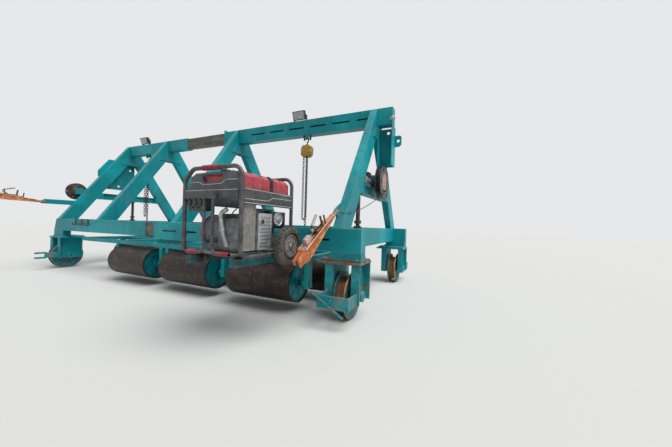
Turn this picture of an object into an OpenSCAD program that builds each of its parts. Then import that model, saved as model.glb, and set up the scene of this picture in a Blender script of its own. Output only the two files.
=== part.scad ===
// Rail-running asphalt paver: a gantry of telescopic box beams on four
// A-frames, with two rows of free-running finishing drums below it.
// X runs across the road, Y along the rails (the front is -Y) and Z is up.
// The floor, z = 0, is at the tips of the wheel flanges.

/* [Gantry] */
// Overall width over the lower beams
gantry_w = 6320; // [6200:10:6500]
// Length over the faces of the front and rear beams
gantry_l = 2460; // [2300:10:2700]
// Height of the top of the lower beams
deck_z = 940; // [930:5:980]
// Height of the top of the top beam
top_z = 2629; // [2580:1:2760]
// Place across of the right outer A-frame's middle
outer_right_x = 2891; // [2860:1:2900]
// Place across of the left outer A-frame's middle
outer_left_x = -2976; // [-2985:1:-2950]
// Place across of the right inner A-frame's middle
inner_right_x = 333; // [250:1:450]
// Place across of the left inner A-frame's middle
inner_left_x = -1619; // [-1700:1:-1500]

/* [Box beams] */
// Height of a right-hand sleeve
sleeve_h = 240; // [232:2:250]
// Depth of a right-hand sleeve
sleeve_d = 136; // [130:2:150]
// Height of a left-hand arm
arm_h = 220; // [216:2:228]
// Depth of a left-hand arm
arm_d = 120; // [118:2:126]
// Height of the sliding inner beam
inner_h = 194; // [184:2:198]
// Depth of the sliding inner beam
inner_d = 96; // [88:2:100]
// Wall of every sleeve and arm
beam_wall = 8; // [5:1:9]
// Wall of the sliding inner beams
inner_wall = 8; // [5:1:12]
// Running clearance between an inner beam and its mouth
slide_gap = 0.4; // [0.2:0.1:0.8]
// Mouth of the lower sleeves, across
sleeve_mouth_x = -84; // [-120:2:0]
// Mouth of the lower arms, across
arm_mouth_x = -305; // [-500:5:-250]
// Mouth of the top sleeve, across
top_mouth_x = 37; // [0:1:60]
// Mouth of the top arm, across
top_arm_mouth_x = -987; // [-1200:1:-900]
// Length of inner beam held in each mouth
inner_grip = 420; // [300:10:500]
// Thickness of the plates around the mouths
collar_t = 14; // [8:1:20]
// How far the lower arms' left ends lean out
end_slant = 70; // [20:5:110]
// Length of an adjusting slot
slot_l = 283; // [200:1:300]
// Height of an adjusting slot
slot_h = 24; // [14:1:30]
// Depth of the rim that stands up around the top sleeve's mouth
mouth_rim = 30; // [16:2:40]

/* [A-frames] */
// Width of a leg across the machine
leg_w = 100; // [80:2:110]
// Length of a leg's foot along the beam top
leg_run = 270; // [230:5:290]
// Depth of the channel post below the top sleeve's end
post_d = 200; // [160:5:220]
// Height of the foot of the channel post
post_z = 1830; // [1825:5:1900]
// Thickness of gussets and lug plates
plate_t = 12; // [8:1:14]
// Height of the bottom of the outer frames' cross bars
cross_z = 1375; // [1335:5:1480]
// Height of the outer frames' cross bars
cross_h = 130; // [100:5:160]
// Height of the brackets under the inner frames' feet
shoe_h = 170; // [120:5:200]
// Height from the top beam's underside down to the apex gussets' lower edge
gusset_h = 190; // [150:5:240]
// Diameter of the holes in the lug boards
lug_hole_d = 44; // [30:1:60]
// Diameter of the pin holes near the lower arms' mouths
pin_hole_d = 22; // [18:1:30]
// Diameter of the screw jacks under the cross bars
jack_d = 50; // [36:1:60]

/* [End beams] */
// Height of the beams along each side
end_h = 226; // [200:2:236]
// Width of the beams along each side
end_w = 116; // [104:2:120]

/* [Rail wheels] */
// Diameter over the wheel flanges
flange_d = 490; // [460:5:500]
// Depth of a flange
flange_deep = 55; // [40:1:60]
// Width of the tread between the flanges
tread_w = 84; // [76:2:92]
// Thickness of a flange
flange_t = 22; // [16:1:26]
// Length of the wheel over its hub
hub_l = 180; // [166:2:186]
// Diameter of a wheel's hub
hub_d = 130; // [110:2:150]
// Diameter of the wheel's axle
axle_d = 60; // [45:1:70]
// Running clearance at the axles
axle_gap = 0.05; // [0.02:0.01:0.1]
// Distance of the wheels' middle from the ends of the lower beams
wheel_in = 180; // [176:1:186]
// Distance of the wheels' axles behind the gantry's faces
wheel_back = 130; // [110:5:150]

/* [Wheel housings] */
// Length of a housing's cheek along the rail
cheek_l = 340; // [300:10:360]
// Width of a housing's cheek across
cheek_w = 90; // [80:2:96]
// Thickness of a cheek's web and flanges
cheek_t = 14; // [10:1:18]
// Distance between the cheeks
fork_gap = 198; // [192:2:206]
// Thickness of each of the housing's two top plates
saddle_t = 20; // [16:1:26]
// Distance from the right beams down to the underside of the top plates
saddle_drop = 117; // [110:1:130]
// Height of the bottom of the cheeks
cheek_z = 190; // [170:5:205]
// Length of the guards ahead of the right wheels
guard_l = 230; // [200:5:250]
// Height of the bottom of the guards
guard_z = 195; // [180:5:220]
// Height of the guards' plates
guard_h = 120; // [100:5:140]
// Length of the forked arms ahead of the left wheels
arm_reach = 320; // [280:10:340]

/* [Drums] */
// Diameter of a drum
drum_d = 444; // [420:2:450]
// Clearance of the drums above the floor
drum_lift = 101; // [101:1:110]
// Length of a front drum
front_drum_l = 890; // [820:10:920]
// Length of a second-row drum
second_drum_l = 950; // [860:10:980]
// Distance from drum to drum in a row
drum_pitch = 1240; // [1200:10:1260]
// Right end of the front row
front_row_x = 2425; // [2400:5:2450]
// Right end of the second row
second_row_x = 2620; // [2590:5:2630]
// Distance between the two rows
row_gap = 615; // [580:5:640]
// Shell thickness of a drum
drum_wall = 12; // [8:1:20]
// Diameter of a drum's stub axle
stub_d = 50; // [40:1:60]
// Distance from a drum's end to its hanger
hanger_gap = 80; // [70:2:84]

/* [Drum carriage] */
// Height of the carriage's bars
bar_h = 60; // [50:2:64]
// Width of the carriage's bars
bar_w = 60; // [50:2:70]
// Room above the bars that the carriage can rise in
lift_room = 75; // [70:1:80]
// Width of a drum hanger along the rails
hanger_w = 90; // [80:2:110]
// Thickness of a drum hanger across
hanger_t = 50; // [40:2:54]

/* [Generator] */
// Width of the generator across the machine
gen_w = 620; // [600:5:640]
// Length of the generator along the rails
gen_l = 655; // [620:5:670]
// Height of the generator's frame
gen_h = 695; // [680:5:720]
// Diameter of the generator's frame pipe
gen_pipe = 32; // [26:1:38]
// Right side of the generator, across
gen_x = 2650; // [2630:5:2660]
// Front of the generator, along the rails
gen_y = -2325; // [-2350:5:-2310]
// Height of the deck that it stands on
gen_z = 705; // [700:5:715]
// Diameter of the generator's tyres
tyre_d = 330; // [310:5:340]
// Diameter of the generator's wheel axle
gen_axle = 20; // [16:1:26]
// Size of the deck's bars
deck_bar = 60; // [50:2:64]
// Diameter of the pipe of the generator's folding handle
handle_pipe = 24; // [20:1:28]
// Width of the generator's tyres
tyre_w = 80; // [70:2:84]

/* [Lifting gear] */
// Diameter of the right cable reel
reel_d = 470; // [430:5:480]
// Diameter of the left cable reel
small_reel_d = 330; // [300:5:350]
// Width of a cable reel
reel_w = 76; // [60:2:84]
// Length of a cable puller's body
puller_l = 660; // [620:5:680]
// Width of a cable puller's body
puller_w = 110; // [90:2:130]
// Height of a chain hoist's block
hoist_h = 190; // [160:5:220]
// Width of a chain hoist's block
hoist_w = 180; // [150:5:200]
// Diameter over the links of the lifting chains
chain_d = 26; // [20:1:32]
// Distance of a hoist's block below the top sleeve
hoist_drop = 150; // [120:5:180]
// Room around a lifting chain where it runs into its hoist
chain_gap = 0.3; // [0.2:0.1:1]
// Distance from an outer frame's face to its reel
reel_boss = 60; // [50:2:80]
// Diameter of the shaft of a cable reel
reel_shaft = 40; // [30:1:50]
// Diameter of the pins that hold the cable pullers
puller_pin = 28; // [20:1:34]

/* [Hidden] */
$fn = 48;

teal = [0.05, 0.52, 0.53];
bare = [0.45, 0.44, 0.42];
rust = [0.42, 0.27, 0.18];
black = [0.12, 0.12, 0.13];
dark = [0.26, 0.27, 0.28];
orange = [0.80, 0.42, 0.20];
drum_steel = [0.20, 0.15, 0.13];
red = [0.72, 0.22, 0.25];
yellow = [0.85, 0.68, 0.15];
silver = [0.72, 0.72, 0.72];

half_w = gantry_w / 2;
half_l = gantry_l / 2;
beam_y = half_l - sleeve_d / 2;
beam_z = deck_z - sleeve_h;
under_top = top_z - sleeve_h;
inner_z = deck_z - (arm_h - inner_h) / 2;
top_inner_z = top_z - (arm_h - inner_h) / 2;
// How far a leg leans for each millimetre of height
lean = (half_l - sleeve_d / 2) / (top_z - deck_z);
leg_meet_z = deck_z + (half_l - leg_run) / lean;
// Distance of a leg's outer edge from the middle, at a height
function leg_y(z) = half_l - lean * (z - deck_z);
// Each frame's place across, and the height and depth of the beams that it joins
frames = [[outer_left_x, arm_h, arm_d], [inner_left_x, arm_h, arm_d],
          [inner_right_x, sleeve_h, sleeve_d], [outer_right_x, sleeve_h, sleeve_d]];
outer_x = [outer_left_x, outer_right_x];
tread_r = flange_d / 2 - flange_deep;
wheel_x = half_w - wheel_in;
wheel_y = half_l - wheel_back;
wheel_z = flange_d / 2;
housing_w = fork_gap + 2 * cheek_w;
saddle_z = beam_z - saddle_drop;
drum_z = drum_d / 2 + drum_lift;
front_row_y = -beam_y;
second_row_y = front_row_y + row_gap;
bar_top = beam_z - lift_room;
bar_z = bar_top - bar_h;
hanger_out = hanger_gap + hanger_t;
carriage_x0 = second_row_x - 3 * drum_pitch - second_drum_l - hanger_out - 10;
// The carriage's long bars: each one's place along the rails and its right end
long_bars = [[front_row_y, front_row_x + hanger_out + 10],
             [second_row_y, second_row_x + hanger_out + 10], [20, second_row_x + hanger_out + 10]];
// Places across of the chain hoists and of the lamps on the top beam
hoist_x = [-2320, 1770];
lamp_x = [-2410, 1630];
gen_x0 = gen_x - gen_w;
gen_y1 = gen_y + gen_l;
gen_top = gen_z + gen_h;
gen_wheel_y = gen_y1 - 150;
gen_wheel_z = gen_z + 80;
// Corners of the generator's hoops in the XZ plane, at the middle of the pipe
hoop = [[gen_x0 + gen_pipe / 2, gen_z + gen_pipe / 2], [gen_x0 + gen_pipe / 2, gen_top - 234],
        [gen_x0 + gen_pipe / 2 + 230, gen_top - gen_pipe / 2],
        [gen_x - gen_pipe / 2 - 115, gen_top - gen_pipe / 2],
        [gen_x - gen_pipe / 2, gen_top - 101], [gen_x - gen_pipe / 2, gen_z + gen_pipe / 2]];
band_z = gen_top - 250;
handle_y = gen_y - 18;
cross_top = cross_z + cross_h;
right_reel = [-80, cross_top + 70];
left_reel = [-leg_y(cross_top) - 70, cross_top];
// The left board's outline and holes, along the rails and up from the cross bars
board_outline = [[-605, 385], [-605, 492], [-407, 768], [110, 768], [110, 115], [-450, 115]];
board_holes = [[19, 593], [-209, 197]];
// Each puller's pin, the angle that it hangs at and the height of its lug's upper end
puller_places = [[[outer_left_x, -half_l - 220, deck_z + 305], -5, 60],
                 [[outer_right_x - leg_w / 2 + plate_t / 2, -leg_y(deck_z + 175) - 62, deck_z + 175],
                  33, 110]];
// Underside of the top beam at a place across
function beam_under(x) = x < top_mouth_x ? top_z - arm_h : under_top;

// A block between two opposite corners
module block(low, high) {
  translate(low) cube(high - low);
}

// Copies for the front and the rear of the gantry
module front_and_rear() {
  children();
  mirror([0, 1, 0]) children();
}

// A plate in the YZ plane, from x over its thickness
module side_plate(x, t) {
  translate([x, 0, 0]) rotate([90, 0, 90]) linear_extrude(t) children();
}

// A straight box beam along X, open at both ends
module box_beam(x0, x1, y, z_top, h, d, wall) {
  difference() {
    block([x0, y - d / 2, z_top - h], [x1, y + d / 2, z_top]);
    block([x0 - 1, y - d / 2 + wall, z_top - h + wall],
          [x1 + 1, y + d / 2 - wall, z_top - wall]);
  }
}

// The plate around a mouth, which carries the sliding beam
module collar(x, y, z_top, h, d, slide_z, rim) {
  difference() {
    block([x, y - d / 2 - rim / 2, z_top - h],
          [x + collar_t, y + d / 2 + rim / 2, z_top + rim]);
    block([x - 1, y - inner_d / 2 - slide_gap, slide_z - inner_h - slide_gap],
          [x + collar_t + 1, y + inner_d / 2 + slide_gap, slide_z + slide_gap]);
  }
}

// A round-ended slot through a front wall, its left end at x
module adjusting_slot(x, y, z) {
  r = slot_h / 2;
  block([x + r, y - sleeve_d, z - r], [x + slot_l - r, y, z + r]);
  for (end = [x + r, x + slot_l - r])
    translate([end, y, z]) rotate([90, 0, 0]) cylinder(r = r, h = sleeve_d);
}

// A right-hand sleeve with its row of adjusting slots on the front face
module sleeve(mouth_x, y, z_top, slide_z, rim, slot_x, slot_pitch, slots) {
  color(teal) difference() {
    union() {
      box_beam(mouth_x + collar_t, half_w, y, z_top, sleeve_h, sleeve_d, beam_wall);
      collar(mouth_x, y, z_top, sleeve_h, sleeve_d, slide_z, rim);
      block([half_w - beam_wall, y - sleeve_d / 2, z_top - sleeve_h],
            [half_w, y + sleeve_d / 2, z_top]);
    }
    for (i = [0 : slots - 1])
      adjusting_slot(slot_x + i * slot_pitch, y, z_top - sleeve_h / 2);
  }
}

// A left-hand arm, closed at its outer end
module arm(end_x, mouth_x, y, z_top, slide_z, slant) {
  color(teal) difference() {
    union() {
      box_beam(end_x, mouth_x - collar_t, y, z_top, arm_h, arm_d, beam_wall);
      collar(mouth_x - collar_t, y, z_top, arm_h, arm_d, slide_z, 0);
      translate([0, y + arm_d / 2, 0]) rotate([90, 0, 0]) linear_extrude(arm_d)
        polygon([[end_x, z_top - arm_h], [end_x + beam_wall, z_top - arm_h],
                 [end_x + slant + beam_wall, z_top], [end_x, z_top]]);
    }
    if (slant > 0)
      translate([0, y + arm_d, 0]) rotate([90, 0, 0]) linear_extrude(2 * arm_d)
        polygon([[end_x - 1, z_top - arm_h - 1], [end_x, z_top - arm_h - 1],
                 [end_x, z_top - arm_h], [end_x + slant, z_top], [end_x + slant, z_top + 1],
                 [end_x - 1, z_top + 1]]);
  }
}

// The unpainted beam that slides in an arm and a sleeve
module inner_beam(arm_x, mouth_x, y, z_top) {
  color(bare) box_beam(arm_x - inner_grip, mouth_x + inner_grip, y, z_top,
                       inner_h, inner_d, inner_wall);
}

// The front arm, with two holes for the pins that lock its sliding beam
module front_arm() {
  difference() {
    arm(-half_w, arm_mouth_x, -beam_y, deck_z, inner_z, end_slant);
    color(teal) for (x = [arm_mouth_x - 326, arm_mouth_x - 96])
      translate([x, -half_l, deck_z - arm_h + 90]) rotate([90, 0, 0])
        cylinder(d = pin_hole_d, h = 2 * beam_wall + arm_d, center = true);
  }
}

module front_inner() inner_beam(arm_mouth_x, sleeve_mouth_x, -beam_y, inner_z);
module front_sleeve() sleeve(sleeve_mouth_x, -beam_y, deck_z, inner_z, 0, 126, 400, 7);
module rear_arm() mirror([0, 1, 0]) front_arm();
module rear_inner() mirror([0, 1, 0]) front_inner();
module rear_sleeve() mirror([0, 1, 0]) front_sleeve();
module top_arm() arm(outer_left_x - leg_w / 2, top_arm_mouth_x, 0, top_z, top_inner_z, 0);
module top_inner() inner_beam(top_arm_mouth_x, top_mouth_x, 0, top_inner_z);
module top_sleeve() sleeve(top_mouth_x, 0, top_z, top_inner_z, mouth_rim, 676, 391, 6);

// The beams along each side, between the front and rear beams
module end_beams() {
  color(teal) for (frame = [frames[0], frames[3]]) {
    y = beam_y - frame[2] / 2;
    difference() {
      block([frame[0] - end_w / 2, -y, deck_z - end_h], [frame[0] + end_w / 2, y, deck_z]);
      block([frame[0] - end_w / 2 + beam_wall, -y - 1, deck_z - end_h + beam_wall],
            [frame[0] + end_w / 2 - beam_wall, y + 1, deck_z - beam_wall]);
    }
  }
}

// A front leg: it leans from the lower beam up to the side of the top beam
module leg(frame) {
  side_plate(frame[0] - leg_w / 2, leg_w)
    polygon([[-half_l, deck_z], [-half_l + leg_run, deck_z], [0, leg_meet_z],
             [0, top_z - frame[1]], [-frame[2] / 2, top_z - frame[1]],
             [-frame[2] / 2, top_z], [-sleeve_d / 2, top_z]]);
}

module front_legs() {
  color(teal) for (frame = frames) leg(frame);
}

module rear_legs() mirror([0, 1, 0]) front_legs();

// Brackets under the inner frames' feet, on the beams' inner faces
module leg_shoes() {
  color(teal) for (frame = [frames[1], frames[2]]) front_and_rear()
    side_plate(frame[0] - leg_w / 2, leg_w)
      polygon([[-beam_y + frame[2] / 2, deck_z - shoe_h], [-beam_y + frame[2] / 2 + 30, deck_z - shoe_h],
               [-half_l + leg_run, deck_z - 30], [-half_l + leg_run, deck_z],
               [-beam_y + frame[2] / 2, deck_z]]);
}

// Plates that tie the legs together under the top beam
module apex_gussets() {
  low = under_top - gusset_h;
  high = under_top - 30;
  y_low = leg_y(low) - leg_run / 2;
  y_high = leg_y(high) - leg_run / 2;
  color(teal) for (frame = frames, side = [-1, 1])
    side_plate(side > 0 ? frame[0] + leg_w / 2 : frame[0] - leg_w / 2 - plate_t, plate_t)
      polygon([[-y_low, low], [y_low, low], [y_high, high], [-y_high, high]]);
}

// The channels across the outer frames at mid height, open to both sides
module cross_bars() {
  y_low = leg_y(cross_z) - leg_run;
  y_high = leg_y(cross_z + cross_h) - leg_run;
  color(teal) for (x = outer_x) difference() {
    side_plate(x - leg_w / 2, leg_w)
      polygon([[-y_low, cross_z], [y_low, cross_z],
               [y_high, cross_z + cross_h], [-y_high, cross_z + cross_h]]);
    for (side = [-1, 1])
      block([side > 0 ? x + plate_t : x - leg_w, -y_high + 30, cross_z + plate_t],
            [side > 0 ? x + leg_w : x - plate_t, y_high - 30, cross_z + cross_h - plate_t]);
  }
}

// The lug board on the outer face of the left frame
module winch_board() {
  color(teal) translate([outer_left_x - leg_w / 2 - 2 * plate_t, 0, cross_top]) difference() {
    side_plate(0, plate_t) polygon(board_outline);
    for (hole = board_holes)
      translate([-1, hole[0], hole[1]]) rotate([0, 90, 0]) cylinder(d = lug_hole_d, h = plate_t + 2);
  }
}

// The channel that hangs below the top sleeve's right end, open to the front, with its lug
module reel_post() {
  x0 = outer_right_x + leg_w / 2 + plate_t;
  y0 = -sleeve_d / 2;
  y1 = y0 + post_d;
  color(teal) difference() {
    union() {
      block([x0, y0, post_z], [half_w, y1, under_top]);
      translate([0, y1, 0]) rotate([90, 0, 0]) linear_extrude(plate_t)
        polygon([[half_w, under_top - 270], [half_w + 60, under_top - 270], [half_w + 90, under_top - 240],
                 [half_w + 90, under_top - 130], [half_w + 70, under_top - 110],
                 [half_w, under_top - 110]]);
    }
    block([x0 + plate_t, y0 - 1, post_z - 1], [half_w - plate_t, y1 - plate_t, under_top + 1]);
    for (hole = [[half_w + 45, under_top - 185], [half_w - 100, under_top - 60]])
      translate([hole[0], y1 + 1, hole[1]]) rotate([90, 0, 0]) cylinder(d = lug_hole_d, h = plate_t + 2);
  }
}

// The screws that stand between each end beam and its cross bar
module screw_jacks() {
  color(black) for (place = [[outer_left_x, 60], [outer_right_x, leg_run + jack_d - leg_y(cross_z)]])
    translate([place[0], place[1], deck_z]) {
      cylinder(d = jack_d, h = cross_z - deck_z);
      cylinder(d = jack_d * 2, h = 20);
      translate([0, 0, 60]) cylinder(d = jack_d * 1.7, h = 40);
      translate([0, 0, cross_z - deck_z - 16]) cylinder(d = jack_d * 1.8, h = 16);
    }
}

// The motor on the right cross bar, which turns the cable reel through its gearbox
module drive_motor() {
  y1 = right_reel[0] - 70;
  color(silver) {
    block([outer_right_x - 45, y1 - 260, cross_top], [outer_right_x + 45, y1 - 60, cross_top + 24]);
    translate([outer_right_x, y1, right_reel[1]]) rotate([90, 0, 0]) cylinder(d = 80, h = 60);
    translate([outer_right_x, y1 - 60, right_reel[1]]) rotate([90, 0, 0]) cylinder(d = 120, h = 250);
    translate([outer_right_x, y1 - 310, right_reel[1]]) rotate([90, 0, 0]) cylinder(d = 108, h = 24);
    block([outer_right_x - 40, y1 - 210, right_reel[1] + 50],
          [outer_right_x + 40, y1 - 90, right_reel[1] + 110]);
  }
}

// The gearbox under the reel's shaft, with the shaft's bearing on its right side
module reel_gearbox() {
  color(teal) {
    block([outer_right_x - 60, right_reel[0] - 70, cross_top],
          [outer_right_x + leg_w / 2, right_reel[0] + 110, cross_top + 16]);
    block([outer_right_x - 40, right_reel[0] - 70, cross_top + 16],
          [outer_right_x + leg_w / 2, right_reel[0] + 70, right_reel[1] + 90]);
    translate([outer_right_x, right_reel[0], right_reel[1] + 90]) cylinder(d = 90, h = 20);
    translate([outer_right_x + leg_w / 2, right_reel[0], right_reel[1]]) rotate([0, 90, 0]) reel_boss();
  }
}

// A channel beside a wheel, open away from it, its web at x = 0 and its width along +X
module cheek() {
  y0 = -wheel_y - cheek_l / 2;
  y1 = -wheel_y + cheek_l / 2;
  block([0, y0, cheek_z], [cheek_t, y1, saddle_z]);
  block([0, y0, cheek_z], [cheek_w, y0 + cheek_t, saddle_z]);
  block([0, y1 - cheek_t, cheek_z], [cheek_w, y1, saddle_z]);
  translate([0, -wheel_y, wheel_z]) rotate([0, 90, 0])
    cylinder(d = 2 * (wheel_z - cheek_z), h = cheek_w - cheek_t);
}

// A forked housing that carries one rail wheel under a beam, here at the front right
module housing(beam_h, beam_d) {
  color(teal) difference() {
    union() {
      block([wheel_x - housing_w / 2 - 90, -wheel_y - cheek_l / 2 - 15, saddle_z],
            [wheel_x + housing_w / 2 + 4, -wheel_y + cheek_l / 2 + 15, saddle_z + saddle_t]);
      block([wheel_x - housing_w / 2 - 60, -half_l - 10, saddle_z + saddle_t],
            [wheel_x + housing_w / 2 - 6, -wheel_y + cheek_l / 2, saddle_z + 2 * saddle_t]);
      block([wheel_x - wheel_in + 20, -beam_y - beam_d / 2, saddle_z + 2 * saddle_t],
            [half_w, -beam_y + beam_d / 2, deck_z - beam_h]);
      translate([wheel_x + fork_gap / 2, 0, 0]) cheek();
      translate([wheel_x - fork_gap / 2, 0, 0]) mirror([1, 0, 0]) cheek();
    }
    translate([wheel_x - housing_w, -wheel_y, wheel_z]) rotate([0, 90, 0])
      cylinder(d = axle_d + 2 * axle_gap, h = 2 * housing_w);
  }
}

module housing_front_right() housing(sleeve_h, sleeve_d);
module housing_front_left() mirror([1, 0, 0]) housing(arm_h, arm_d);
module housing_rear_right() mirror([0, 1, 0]) housing(sleeve_h, sleeve_d);
module housing_rear_left() mirror([0, 1, 0]) mirror([1, 0, 0]) housing(arm_h, arm_d);

// A double-flanged rail wheel with its axle, here at the front right
module rail_wheel() {
  half_tread = tread_w / 2;
  axle_end = housing_w / 2 - cheek_t - 4;
  color(rust) translate([wheel_x, -wheel_y, wheel_z]) rotate([0, 90, 0])
    rotate_extrude($fn = 96)
      polygon([[0, -axle_end], [axle_d / 2, -axle_end],
               [axle_d / 2, -hub_l / 2], [hub_d / 2, -hub_l / 2], [hub_d / 2, -half_tread - 6],
               [tread_r - 40, -half_tread - 6], [tread_r - 20, -half_tread - flange_t],
               [flange_d / 2 - 6, -half_tread - flange_t], [flange_d / 2, -half_tread - 10],
               [tread_r, -half_tread], [tread_r, half_tread],
               [flange_d / 2, half_tread + 10], [flange_d / 2 - 6, half_tread + flange_t],
               [tread_r - 20, half_tread + flange_t], [tread_r - 40, half_tread + 6],
               [hub_d / 2, half_tread + 6], [hub_d / 2, hub_l / 2], [axle_d / 2, hub_l / 2],
               [axle_d / 2, axle_end], [0, axle_end]]);
}

module wheel_front_right() rail_wheel();
module wheel_front_left() mirror([1, 0, 0]) rail_wheel();
module wheel_rear_right() mirror([0, 1, 0]) rail_wheel();
module wheel_rear_left() mirror([0, 1, 0]) mirror([1, 0, 0]) rail_wheel();

// A guard ahead of a right wheel, with a lip at its foot and a slanting bar across its front
module rail_guard() {
  y1 = -wheel_y - cheek_l / 2;
  y0 = y1 - guard_l;
  x0 = wheel_x - 160;
  x1 = wheel_x + 170;
  color(teal) {
    block([x0, y0, guard_z], [x1, y0 + plate_t, guard_z + guard_h]);
    for (x = [x0, x1 - plate_t])
      block([x, y0 + plate_t, guard_z], [x + plate_t, y1, guard_z + guard_h]);
    block([x0 + plate_t, y0 + plate_t, guard_z], [x1 - plate_t, y0 + 4 * plate_t, guard_z + plate_t / 2]);
    translate([x0 + 122, y0 - 8, guard_z + 31]) rotate([0, 31.5, 0]) {
      block([-186, -8, -8], [186, 8, 8]);
      block([-8, -8, 8], [8, 8, 60]);
    }
  }
}

module rail_guards() {
  front_and_rear() rail_guard();
}

// The forked arms ahead of the left wheels, on the housings' inner cheeks
module forked_arms() {
  y1 = wheel_y + cheek_l / 2;
  mid = wheel_z + 25;
  color(teal) front_and_rear() mirror([0, 1, 0]) difference() {
    side_plate(-wheel_x + fork_gap / 2 + cheek_w / 2, 2 * plate_t)
      polygon([[y1, mid - 48], [y1 + arm_reach / 2, mid - 48], [y1 + arm_reach / 2 + 20, mid - 60],
               [y1 + arm_reach, mid - 60], [y1 + arm_reach, mid - 28], [y1 + arm_reach / 2 + 30, mid - 28],
               [y1 + arm_reach / 2 + 30, mid + 28], [y1 + arm_reach, mid + 28], [y1 + arm_reach, mid + 60],
               [y1 + arm_reach / 2 + 20, mid + 60], [y1 + arm_reach / 2, mid + 48], [y1, mid + 48]]);
    translate([-wheel_x, y1 + 70, mid]) rotate([0, 90, 0]) cylinder(d = pin_hole_d, h = 2 * housing_w);
  }
}

// The long bars that hang below the beams, over and behind the drums
module carriage_bars() {
  color(teal) for (bar = long_bars)
    block([carriage_x0, bar[0] - bar_w / 2, bar_z], [bar[1], bar[0] + bar_w / 2, bar_top]);
}

// The short bars that tie the long ones together
module carriage_ties() {
  color(teal) for (i = [0 : 4], k = [0, 1]) {
    x = carriage_x0 + i * (long_bars[k][1] - carriage_x0 - bar_w) / 4;
    block([x, long_bars[k][0] + bar_w / 2, bar_z], [x + bar_w, long_bars[k + 1][0] - bar_w / 2, bar_top]);
  }
}

// A post on which a drum's stub axle runs, with a bearing boss towards the drum and a foot
module hanger(x, y, side) {
  color(teal) difference() {
    union() {
      block([x, y - hanger_w / 2, drum_z - stub_d + 8], [x + hanger_t, y + hanger_w / 2, bar_z]);
      block([x - 5, y - hanger_w / 2 - 10, drum_z - stub_d],
            [x + hanger_t + 5, y + hanger_w / 2 + 10, drum_z - stub_d + 8]);
      translate([side > 0 ? x - 30 : x + hanger_t, y, drum_z]) rotate([0, 90, 0])
        cylinder(d = hanger_w, h = 30);
    }
    translate([x - 31, y, drum_z]) rotate([0, 90, 0])
      cylinder(d = stub_d + 2 * axle_gap, h = hanger_t + 62);
  }
}

module drum_hangers() {
  // Each row's number of drums, right end, place along the rails and length of drum
  rows = [[3, front_row_x, front_row_y, front_drum_l], [4, second_row_x, second_row_y, second_drum_l]];
  for (row = rows, i = [0 : row[0] - 1]) {
    x1 = row[1] - i * drum_pitch;
    hanger(x1 + hanger_gap, row[2], 1);
    hanger(x1 - row[3] - hanger_gap - hanger_t, row[2], -1);
  }
}

// One drum, its right end at x
module drum(x, y, l) {
  r = drum_d / 2;
  stub = hanger_out + 10;
  translate([x - l, y, drum_z]) rotate([0, 90, 0]) {
    color(drum_steel) rotate_extrude($fn = 96)
      polygon([[r - drum_wall, 0], [r, 0], [r, l], [r - drum_wall, l]]);
    color(teal) for (z = [14, l - 14 - plate_t])
      translate([0, 0, z]) cylinder(r = r - drum_wall, h = plate_t);
    color(bare) {
      translate([0, 0, -stub]) cylinder(d = stub_d, h = stub + 14);
      translate([0, 0, l - 14]) cylinder(d = stub_d, h = stub + 14);
    }
  }
}

module front_drum_1() drum(front_row_x - 2 * drum_pitch, front_row_y, front_drum_l);
module front_drum_2() drum(front_row_x - drum_pitch, front_row_y, front_drum_l);
module front_drum_3() drum(front_row_x, front_row_y, front_drum_l);
module second_drum_1() drum(second_row_x - 3 * drum_pitch, second_row_y, second_drum_l);
module second_drum_2() drum(second_row_x - 2 * drum_pitch, second_row_y, second_drum_l);
module second_drum_3() drum(second_row_x - drum_pitch, second_row_y, second_drum_l);
module second_drum_4() drum(second_row_x, second_row_y, second_drum_l);

// Brackets from the front beam that carry the generator
module generator_deck() {
  color(teal) for (x = [gen_x0 + 40, gen_x - 120]) {
    block([x, gen_y + 20, gen_z - deck_bar], [x + deck_bar, -half_l, gen_z]);
    block([x, -half_l - plate_t, gen_z], [x + deck_bar, -half_l, deck_z - 60]);
  }
}

// A pipe along a run of points, with a ball where it turns
module pipe_run(points, d) {
  for (i = [0 : len(points) - 2]) {
    step = points[i + 1] - points[i];
    translate(points[i]) rotate([0, acos(step[2] / norm(step)), atan2(step[1], step[0])])
      cylinder(d = d, h = norm(step));
  }
  for (i = [0 : len(points) - 1]) translate(points[i]) sphere(d = d + 0.6);
}

// The pipe frame around the generator, with lugs for its wheels' axle
module generator_frame() {
  r = gen_pipe / 2;
  color(dark) difference() {
    union() {
      for (y = [gen_y + r, gen_y1 - r]) {
        pipe_run([for (corner = hoop) [corner[0], y, corner[1]]], gen_pipe);
        translate([gen_x0 + r, y, gen_z + r]) rotate([0, 90, 0]) cylinder(r = r, h = gen_w - 2 * r);
      }
      for (x = [gen_x0 + r, gen_x - r])
        translate([x, gen_y + r, gen_z + r]) rotate([-90, 0, 0]) cylinder(r = r, h = gen_l - 2 * r);
      for (x = [gen_x0 + 8, gen_x - 20])
        block([x, gen_wheel_y - 40, gen_z + 8], [x + plate_t, gen_wheel_y + 40, gen_z + 130]);
    }
    translate([gen_x0 - 1, gen_wheel_y, gen_wheel_z]) rotate([0, 90, 0])
      cylinder(d = gen_axle + 2 * axle_gap, h = gen_w + 2);
  }
}

// The fuel tank, which hangs between the hoops
module generator_tank() {
  x0 = gen_x0 + 110;
  x1 = gen_x - gen_pipe;
  color(red) translate([0, gen_y1 - gen_pipe - 0.3, 0]) rotate([90, 0, 0])
    linear_extrude(gen_l - 2 * gen_pipe - 0.6)
      polygon([[x0, band_z + 80], [x1, band_z + 80], [x1, gen_top - 70], [x1 - 30, gen_top - 36],
               [x0 + 135, gen_top - 46]]);
}

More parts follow.
